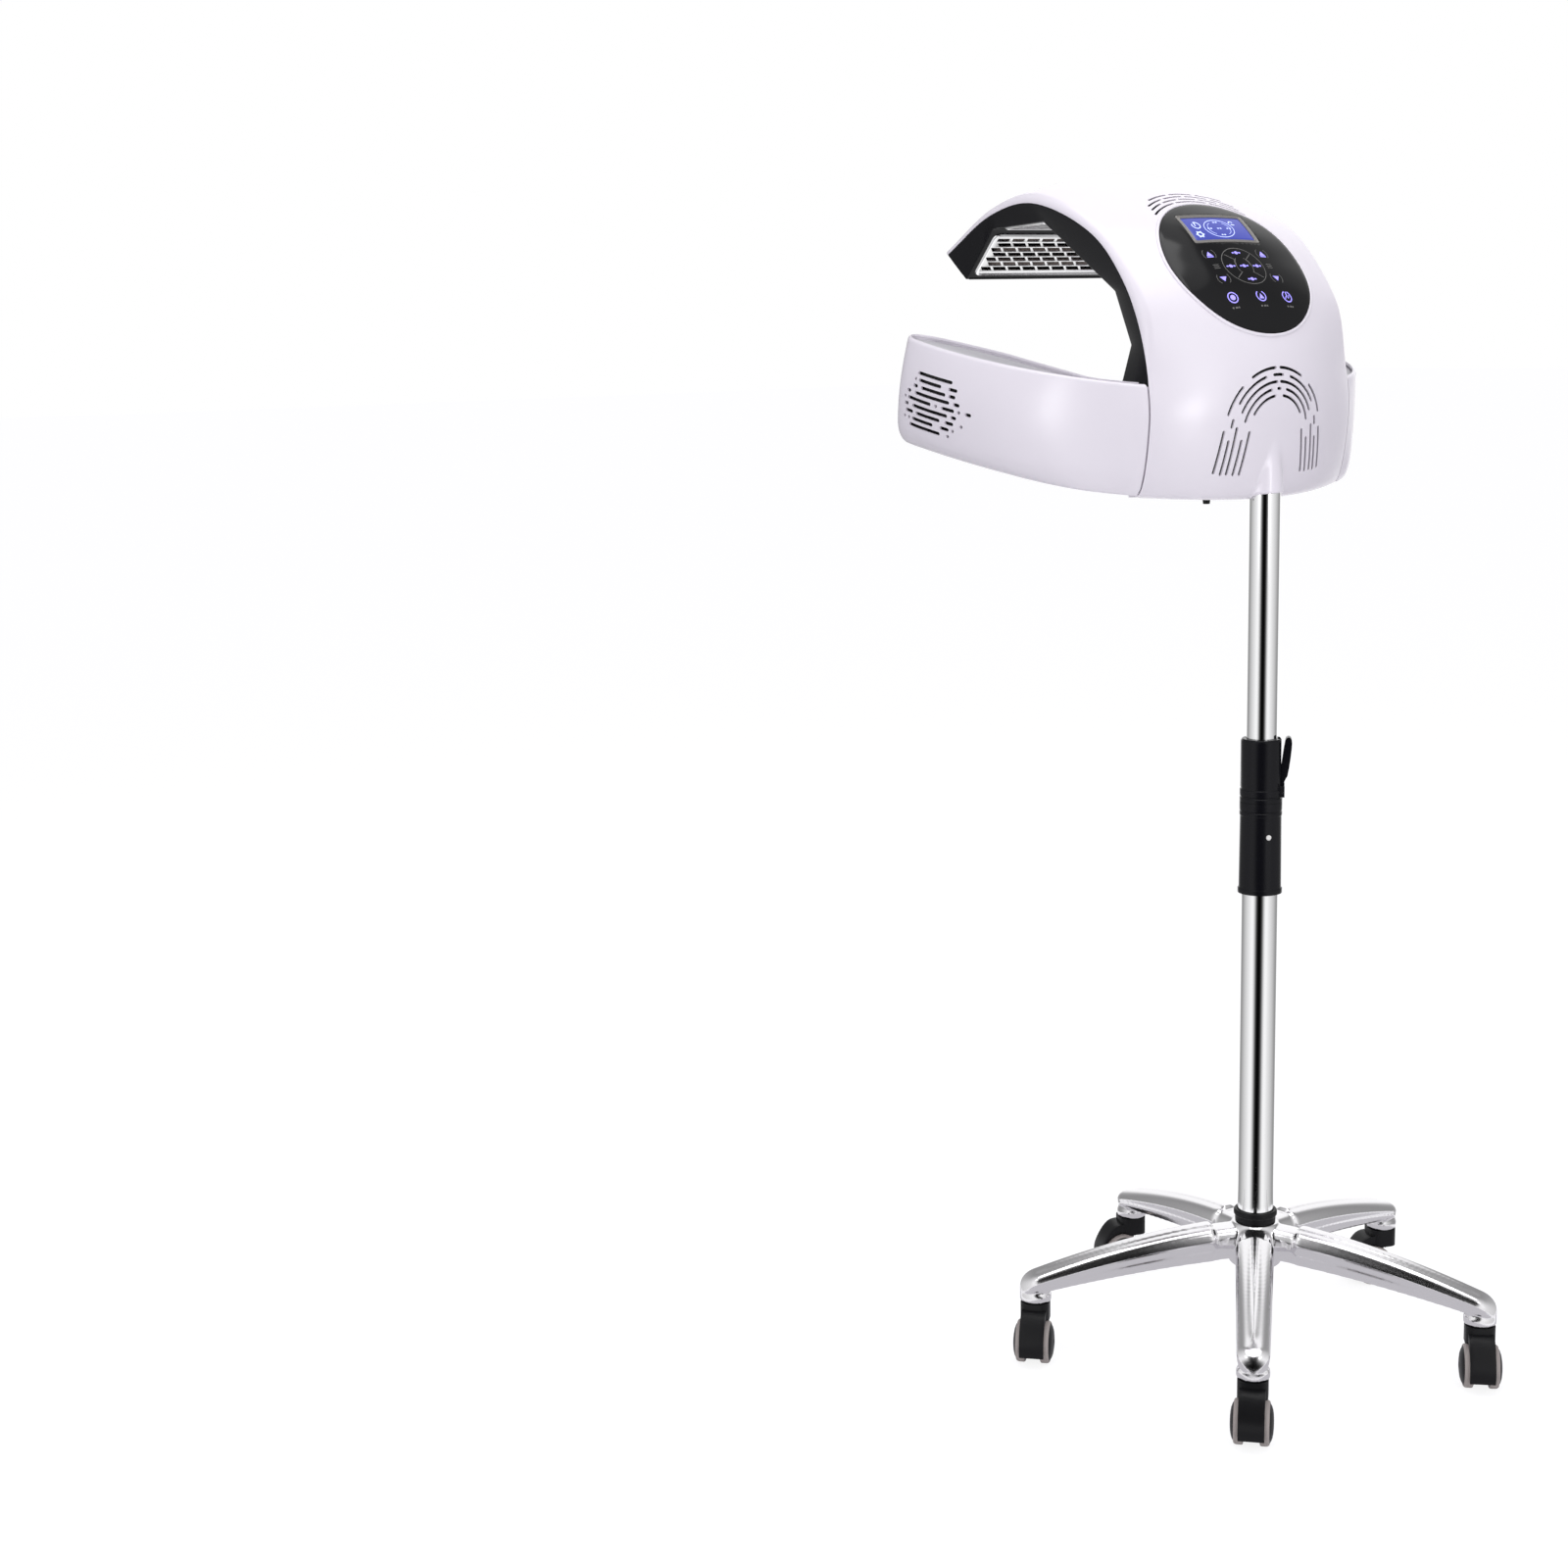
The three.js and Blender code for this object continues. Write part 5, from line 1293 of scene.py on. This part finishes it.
# %% Marks on the display
SIGN, POWER, GEAR, HAND = (
    (a, LCD_CENTRE + b) for a, b in ((1, -0.5), (-29.5, 5.5), (-32.5, -9.5), (25, 9))
)
lines = [
    (oval(*SIGN, 21, 14.5), 0.8),
    (oval(SIGN[0] + 6, SIGN[1], 10, 9.5, -70, 70), 0.5),
    (oval(SIGN[0] - 6, SIGN[1], 10, 9.5, 110, 250), 0.5),
    (oval(*POWER, 5.4, 5.2, 150, 470), 1.3),
    ([(-31, LCD_CENTRE + 4.4), (-29.6, LCD_CENTRE + 11.6)], 1.3),
    (oval(*GEAR, 3.6, 3.4), 2.0),
    (oval(*HAND, 3.2, 3.0, 20, 200), 1.2),
    ([(23.4, LCD_CENTRE + 6.8), (28.6, LCD_CENTRE + 6.2)], 1.5),
]
for a, b in ((-14, 0), (0, 0), (14, 0), (0, 10.6), (0, -10.6)):
    for middle in (SIGN[0] + a - 1.9, SIGN[0] + a + 1.9):
        lines.append(([(middle - 1.2, SIGN[1] + b), (middle + 1.2, SIGN[1] + b)], 1.7))
for k in range(6):
    p, q = polar(1, math.pi * k / 3)
    lines.append(([(GEAR[0] + ra * p, GEAR[1] + rb * q) for ra, rb in ((4.4, 4.2), (5.8, 5.5))], 1.5))
marks("display_marks", screen_mark, "lcd_screen", ON_SCREEN, lines)


# %% [markdown]
# ## Tubes, collar, sleeve and clamp
# These are turned pieces: each half section is drawn once and spun. Small bevels catch the light on every
# edge. Chrome tubes get a fine rounding at their ends, and the black sleeve its grip rings.

# %% Tubes and collar
def tube(name, inner, outer, foot, top, body, node, round_off=0.6):
    profile = [
        (inner, foot), (outer - round_off, foot), (outer, foot + round_off), (outer, top - round_off),
        (outer - round_off, top), (inner, top),
    ]
    fit(smooth(turned(name, profile, 96), 30), body, chrome, "chrome", node)


tube("lower_mast", 19.4, 21, 104.3, 655, "stand", "lower_tube")
tube("upper_mast", 15.9, 17.5, 412, 1012, "mast", "upper_tube")
collar = turned("hub_ring", [
    (21.3, 151.4), (23.6, 151.4), (23.6, 157.5), (25.3, 159.5), (25.3, 163.5), (24.2, 165.5), (21.3, 165.5),
])
fit(smooth(rounded(collar, 0.6, 2, 30), 30), "stand", black_satin, "black_plastic", "hub_collar")

# %% Sleeve
FIRST_LEG, LEVER_TURN, PEG_TURN = 226.5, -43.5, 23
SLEEVE_OUT, SPLIT, PEG_LEVEL = 24.2, 657, 618
sleeve = turned("sleeve", [
    (21.3, 550), (25.4, 550), (25.4, 555), (24.2, 556.5), (23.6, 640.5), (24.2, 641.5), (24.2, 645),
    (23.5, 645.6), (23.5, 646.6), (24.2, 647.2), (24.2, 656.7), (17.8, 656.7), (17.8, 655.3), (21.3, 655.3),
], 96)
peg_seat = turn_about("Z", FIRST_LEG + PEG_TURN) @ place_mm(0, 0, PEG_LEVEL) @ turn_about("Y", 90)
cut(sleeve, bars([disc_outline(3.3, 32)], 20, 30, peg_seat))
fit(smooth(rounded(sleeve, 0.4, 2, 30), 30), "stand", black_gloss, "black_plastic", "sleeve_body")
peg = turned("sleeve_stud", [(0, 21.3), (3, 21.3), (3, 24.6), (2.5, 25.1), (1.4, 25.2), (0, 25.2)], 32)
fit(moved(smooth(peg, 40), peg_seat), "stand", nylon, "nylon", "sleeve_peg")

# %% [markdown]
# The clamp above it is the same kind of turned barrel with a bay for the lever and two lugs for its pin.
# The lever is a bent tongue: its side view is extruded, its edges are rounded, and it swings on the pin.

# %% Clamp
CLAMP_IN, CLAMP_OUT, CLAMP_TOP = 17.8, 23.6, 730
CLAMP_NECK, CLAMP_GROOVE = CLAMP_OUT - 0.4, 23.4
PIVOT_RADIUS, PIVOT = 23.8, SPLIT + 12
LEVER_HALF, LUG, BAY_FLOOR, SHOE_HALF, SHOE_HIGH = 7.5, 3.5, 18.2, 3.8, 4.3
lever_turn = turn_about("Z", LEVER_TURN)


def block(x0, x1, y0, y1, z0, z1):
    return extruded("block", [(x0, y0), (x1, y0), (x1, y1), (x0, y1)], z0, z1)


clamp_barrel = turned("clamp_barrel", [(CLAMP_IN, SPLIT)] + [(radius, SPLIT + rise) for radius, rise in (
    (SLEEVE_OUT, 0), (SLEEVE_OUT, 4.5), (CLAMP_GROOVE, 5.2), (CLAMP_GROOVE, 6.4), (SLEEVE_OUT, 7.1),
    (SLEEVE_OUT, 14), (CLAMP_NECK, 15), (CLAMP_NECK, 16.4), (CLAMP_OUT, 17.2),
)] + [(CLAMP_OUT, CLAMP_TOP - 2.6), (CLAMP_OUT - 1.6, CLAMP_TOP), (CLAMP_IN, CLAMP_TOP)], 96)
span = LEVER_HALF + FIT
for low, high in ((span, span + LUG), (-span - LUG, -span)):
    lug = block(CLAMP_IN + 1, PIVOT_RADIUS + 2.6, low, high, PIVOT - 6, PIVOT + 7)
    cut(clamp_barrel, lug, "UNION")
cut(clamp_barrel, block(BAY_FLOOR, PIVOT_RADIUS + 20, -span, span, PIVOT - 8, CLAMP_TOP + 5))
cut(clamp_barrel, block(
    CLAMP_IN - 2, PIVOT_RADIUS, -SHOE_HALF, SHOE_HALF, PIVOT - SHOE_HIGH, PIVOT + SHOE_HIGH,
))
rounded(clamp_barrel, 0.4, 2, 40)
fit(moved(smooth(clamp_barrel, 30), lever_turn), "stand", black_gloss, "black_plastic", "clamp_head")

# %% Lever and its pin
lever_side = [
    (20.4, 664.8), (25.6, 664.8), (25.8, 678), (26.2, 681), (27.6, 684.2), (29.4, 687), (31.2, 697),
    (32.8, 709), (33.9, 720), (34.1, 725.5), (33.5, 729.4), (31.8, 731.6), (29.4, 731.8), (27.2, 730.4),
    (26.4, 728), (24.8, 718), (23.0, 704), (21.4, 691), (20.9, 680),
]
lever = extruded("lever", lever_side, -LEVER_HALF, LEVER_HALF)
cut(lever, bars([[(PIVOT_RADIUS + a, PIVOT + b) for a, b in disc_outline(2.3, 24)]], -40, 40))
rounded(moved(lever, turn_about("X", 90)), 0.9, 3, 30)
fit(moved(smooth(lever, 40), lever_turn), "lever", black_gloss, "black_plastic", "clamp_lever")
reach = span + LUG
pin = turned("pivot_pin", [
    (0, -reach), (1.6, -reach), (2, -reach + 0.4), (2, reach - 0.4), (1.6, reach), (0, reach),
], 32)
moved(pin, lever_turn @ place_mm(PIVOT_RADIUS, 0, PIVOT) @ turn_about("X", 90))
fit(smooth(pin, 40), "stand", steel, "steel", "lever_pin")

# %% [markdown]
# ## Star base
# The base is one polished casting: a hub, five drooping legs with a flat ridge on top, and a boss at each
# tip. The parts overlap as separate solids, a voxel remesh fuses them, and smoothing rounds every inner
# corner as the casting's fillets do. The bores are cut afterwards, so that they stay true.

# %% Base casting
STEM_CIRCLE, BOSS = 266, 18.4
LEG_TURNS = [FIRST_LEG + 72 * k for k in range(5)]
LEG_START, LEG_END = 12.0, STEM_CIRCLE + BOSS
LEG_ROWS, LEG_AROUND = 90, 56
LEG_SHARE, GROOVE_LEVEL, GROOVE_DEPTH, RIDGE_HIGH = 0.38, 0.42, 0.09, 1.8
VOXEL = 1.6


def leg_point(i, j):
    """A point of one leg along X: a flat ridged top, a groove along each side and a neck by the hub"""
    t = 1 - (1 - i / LEG_ROWS) ** 1.35
    along = LEG_START + t * (LEG_END - LEG_START)
    top, bottom = 152 - 53 * t ** 1.7, 110 - 32 * t ** 1.6
    neck = 1 - smoothstep(along, 53, 56.5)
    nose = clamp((along - STEM_CIRCLE) / BOSS)
    taper = math.sqrt(max(0.01, 1 - nose ** 2))
    half = (24 - 5.6 * t) * taper * (1 - 0.14 * neck)
    height = (top - bottom) * (0.5 + 0.5 * taper) * (1 - 0.08 * neck)
    p, q = polar(1, 2 * math.pi * (j % LEG_AROUND) / LEG_AROUND)
    y = half * math.copysign(abs(p) ** 0.7, p)
    level = LEG_SHARE + (1 - LEG_SHARE) * q ** 0.7 if q >= 0 else LEG_SHARE * (1 - min(1, -q * 1.6))
    y *= 1 - GROOVE_DEPTH * math.exp(-((level - GROOVE_LEVEL) / 0.10) ** 2) * (1 - neck) * taper
    if q < 0:
        y *= 1 - 0.12 * min(1, -q * 2)
    ridge = 8 - 5 * t
    on_ridge = (1 - smoothstep(abs(y), ridge - 1.2, ridge + 1.2)) * (q > 0)
    lift = RIDGE_HIGH * on_ridge * (1 - neck) * (1 - smoothstep(t, 0.85, 0.93))
    return Vector((along, y, bottom + height * level + lift))


def close_ends():
    bpy.ops.mesh.remove_doubles(threshold=MERGE)
    bpy.ops.mesh.select_all(action="DESELECT")
    bpy.ops.mesh.select_mode(type="EDGE")
    bpy.ops.mesh.select_non_manifold()
    bpy.ops.mesh.fill_holes(sides=0)
    bpy.ops.mesh.select_mode(type="VERT")
    bpy.ops.mesh.select_all(action="SELECT")
    bpy.ops.mesh.normals_make_consistent(inside=False)


leg = sheet("leg", LEG_ROWS, LEG_AROUND, leg_point)
edit(leg, close_ends)
boss = moved(turned("boss", [
    (0, 70), (BOSS - 0.8, 70), (BOSS, 70.8), (BOSS, 79), (BOSS - 1.6, 81), (0, 83),
], 64), place_mm(STEM_CIRCLE, 0, 0))
hub = turned("hub", [(0, 98), (27, 98), (31, 102), (31, 140), (29, 146), (26.5, 151), (0, 151)])
arms = [copied(part, "arm", turn_about("Z", turn)) for part in (leg, boss) for turn in LEG_TURNS]
base = joined("star_base", hub, *arms)
remove(leg, boss)
modify(base, "REMESH", mode="VOXEL", voxel_size=VOXEL * MM)
modify(base, "SMOOTH", factor=0.5, iterations=5)
stems = [polar(STEM_CIRCLE, math.radians(turn)) for turn in LEG_TURNS]
cut(base, bars([disc_outline(21.3)], 104, 160))
cut(base, bars([[(x + a, y + b) for a, b in disc_outline(5.8, 32)] for x, y in stems], 60, 89))
fit(smooth(base, 60), "stand", aluminium, "cast_aluminium", "base_star")

# %% [markdown]
# ## Casters
# A caster is a black hood with its stem between two wheels. A wheel has a black dished disc and a taupe
# tread ring. One caster is modelled at the origin with its trail along X, and copied to the five legs.

# %% Caster pieces
WHEEL, TRAIL, WHEEL_START, TREAD = 25, 17, 9, 22.15
COVER_IN, COVER_OUT, COVER_HIGH = WHEEL + 1.6, WHEEL + 4.2, 8.5
COVER_HALF, WEB_HALF = 14.2, 8.4
cover_angles = [math.radians(-22 + 150 * k / 20) for k in range(21)]
outside = []
for t in cover_angles:
    rise = COVER_OUT + COVER_HIGH * smoothstep(t, 0.3, 1.3)
    outside.append((TRAIL + COVER_OUT * math.cos(t), WHEEL + rise * math.sin(t)))
inside = [polar(COVER_IN, t, (TRAIL, WHEEL)) for t in cover_angles]
web_side = outside + [(TRAIL - 14, WHEEL - 6), (TRAIL + 8, WHEEL - 14)]
flip_up = turn_about("X", 90)
cover = moved(extruded("cover", outside + inside[::-1], -COVER_HALF, COVER_HALF), flip_up)
cut(cover, moved(extruded("web", web_side, -WEB_HALF, WEB_HALF), flip_up), "UNION")
cut(cover, moved(extruded("neck", rounded_box(33, 33.6, 10), 48, 69.7), place_mm(1.5, 0, 0)), "UNION")
rounded(cover, 1.3, 3, 40)
stem = turned("stem", [(0, 54), (5.5, 54), (5.5, 87), (4.6, 88), (0, 88)], 32)
axle = turned("axle", [(0, -21.5), (4, -21.5), (4, 21.5), (0, 21.5)], 32)
moved(axle, place_mm(TRAIL, 0, WHEEL) @ flip_up)
caster_hood = smooth(joined("caster_hood", cover, stem, axle), 35)
caster_hood.data.materials.append(black_satin)
wheel = turned("wheel", [(radius, WHEEL_START + out) for radius, out in (
    (4.3, 0), (20, 0), (23.3, 0), (24.5, 0.6), (24.8, 1.8), (24.8, 7.2), (24.3, 9.0), (23.2, 10.2),
    (22.4, 10.4), (22.0, 10.0), (21.2, 10.6), (18.5, 12.2), (15, 13.4), (11, 14.1), (7, 14.45), (4.3, 14.5),
)])
for material in (black_satin, tread_taupe):
    wheel.data.materials.append(material)
for face in wheel.data.polygons:
    face.material_index = int(math.hypot(face.center.x, face.center.y) > TREAD * MM)
smooth(wheel, 40)

# %% Five casters in place
CASTER_TURNS = [turn + LEVER_TURN for turn in (268, 272, 205, 205, 268)]
for k, ((x, y), turn) in enumerate(zip(stems, CASTER_TURNS), 1):
    seat = place_mm(x, y, 0) @ turn_about("Z", turn)
    fork = copied(caster_hood, f"caster_{k}_fork", seat)
    fit(fork, f"caster_{k}", black_satin, "black_plastic", f"caster_{k}_hood")
    for letter, tilt in (("a", 90), ("b", -90)):
        spot = seat @ place_mm(TRAIL, 0, WHEEL) @ turn_about("X", tilt)
        twin = copied(wheel, f"caster_{k}_{letter}_disc", spot)
        fit(twin, f"caster_{k}_{letter}", black_satin, "caster_tread", f"caster_{k}_wheel_{letter}")
remove(caster_hood, wheel)

# %% [markdown]
# ## Small pieces and carried-over solids
# The cord's gland under the head is a turned piece. Solids that sit inside, such as the heaters, the board
# and the bracket, already have the right shape, so they stay and only get their finish.

# %% Gland
GLAND_X, GLAND_Y = -53, 38
gland_seat = place_mm(GLAND_X, GLAND_Y, HEAD_BASE + 2 + (GLAND_Y - 20) * 18 / 68)
gland = turned("gland", [
    (2.4, -9), (3.8, -9), (4.6, -3.2), (9, -3.2), (9, -2.6), (6, -2.4), (6, 6.6), (2.4, 6.6),
], 40)
smooth(rounded(gland, 0.3, 2, 40), 35)
fit(moved(gland, gland_seat), "head", black_satin, "black_plastic", "cord_gland")

# %% Finishes for the solids that stay
carried = {
    white_gloss: ["bottom_cover"],
    black_satin: ["socket_bracket"],
    steel: ["lock_shoe", "mast_spigot", "hinge_pin_l", "hinge_pin_r"],
    nylon: ["mast_foot_bush", "thrust_washer"],
    ceramic: ["heater_rear", "heater_top", "wing_heater_l", "wing_heater_r"],
    board_green: ["control_board"],
}
for material, names in carried.items():
    for name in names:
        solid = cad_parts[name]
        solid.data.materials.clear()
        solid.data.materials.append(material)
print("carried over:", sum(len(names) for names in carried.values()), "solids")

# %% [markdown]
# ## Painted shade behind the vents
# Black sheets behind the vents are painted shade: they stand in for the shadow inside the hood and the
# wings, so the slots read as dark openings. The hood's sheet lies under the arch vents and the wing's
# follows its outer wall.

# %% Black sheets of painted shade behind the vents
PAINTED_SHADE_ROWS, PAINTED_SHADE_COLUMNS, PAINTED_SHADE_THICK = (24, 12), (28, 24), 0.8


def hood_painted_shade_point(i, j):
    s, x = 1.18 + 1.95 * i / PAINTED_SHADE_ROWS[0], -84 + 168 * j / PAINTED_SHADE_COLUMNS[0]
    return hood_skin(s, x) - skin_normal(s, x) * (WALL + 1.6)


def wing_painted_shade_point(i, j):
    curve, _ = wing_loop(22 + 80 * i / PAINTED_SHADE_ROWS[1], WING_INSET + WALL + 2.2)
    return curve(4.75 + 3.3 * j / PAINTED_SHADE_COLUMNS[1])


# Black sheets of painted shade, one under the hood's arch vents and one along each wing's outer wall
hood_baffle = sheet("hood_baffle", PAINTED_SHADE_ROWS[0], PAINTED_SHADE_COLUMNS[0], hood_painted_shade_point)
wing_painted_shade = sheet("wing_baffle_l", PAINTED_SHADE_ROWS[1], PAINTED_SHADE_COLUMNS[1], wing_painted_shade_point)
for piece, out in ((hood_baffle, (0, -1, 0)), (wing_painted_shade, (-1, 0, 0))):
    smooth(walled(facing(piece, out), PAINTED_SHADE_THICK), 40)
fit(hood_baffle, "head", black_satin, "black_plastic")
fit_wings(wing_painted_shade, black_satin, "black_plastic")
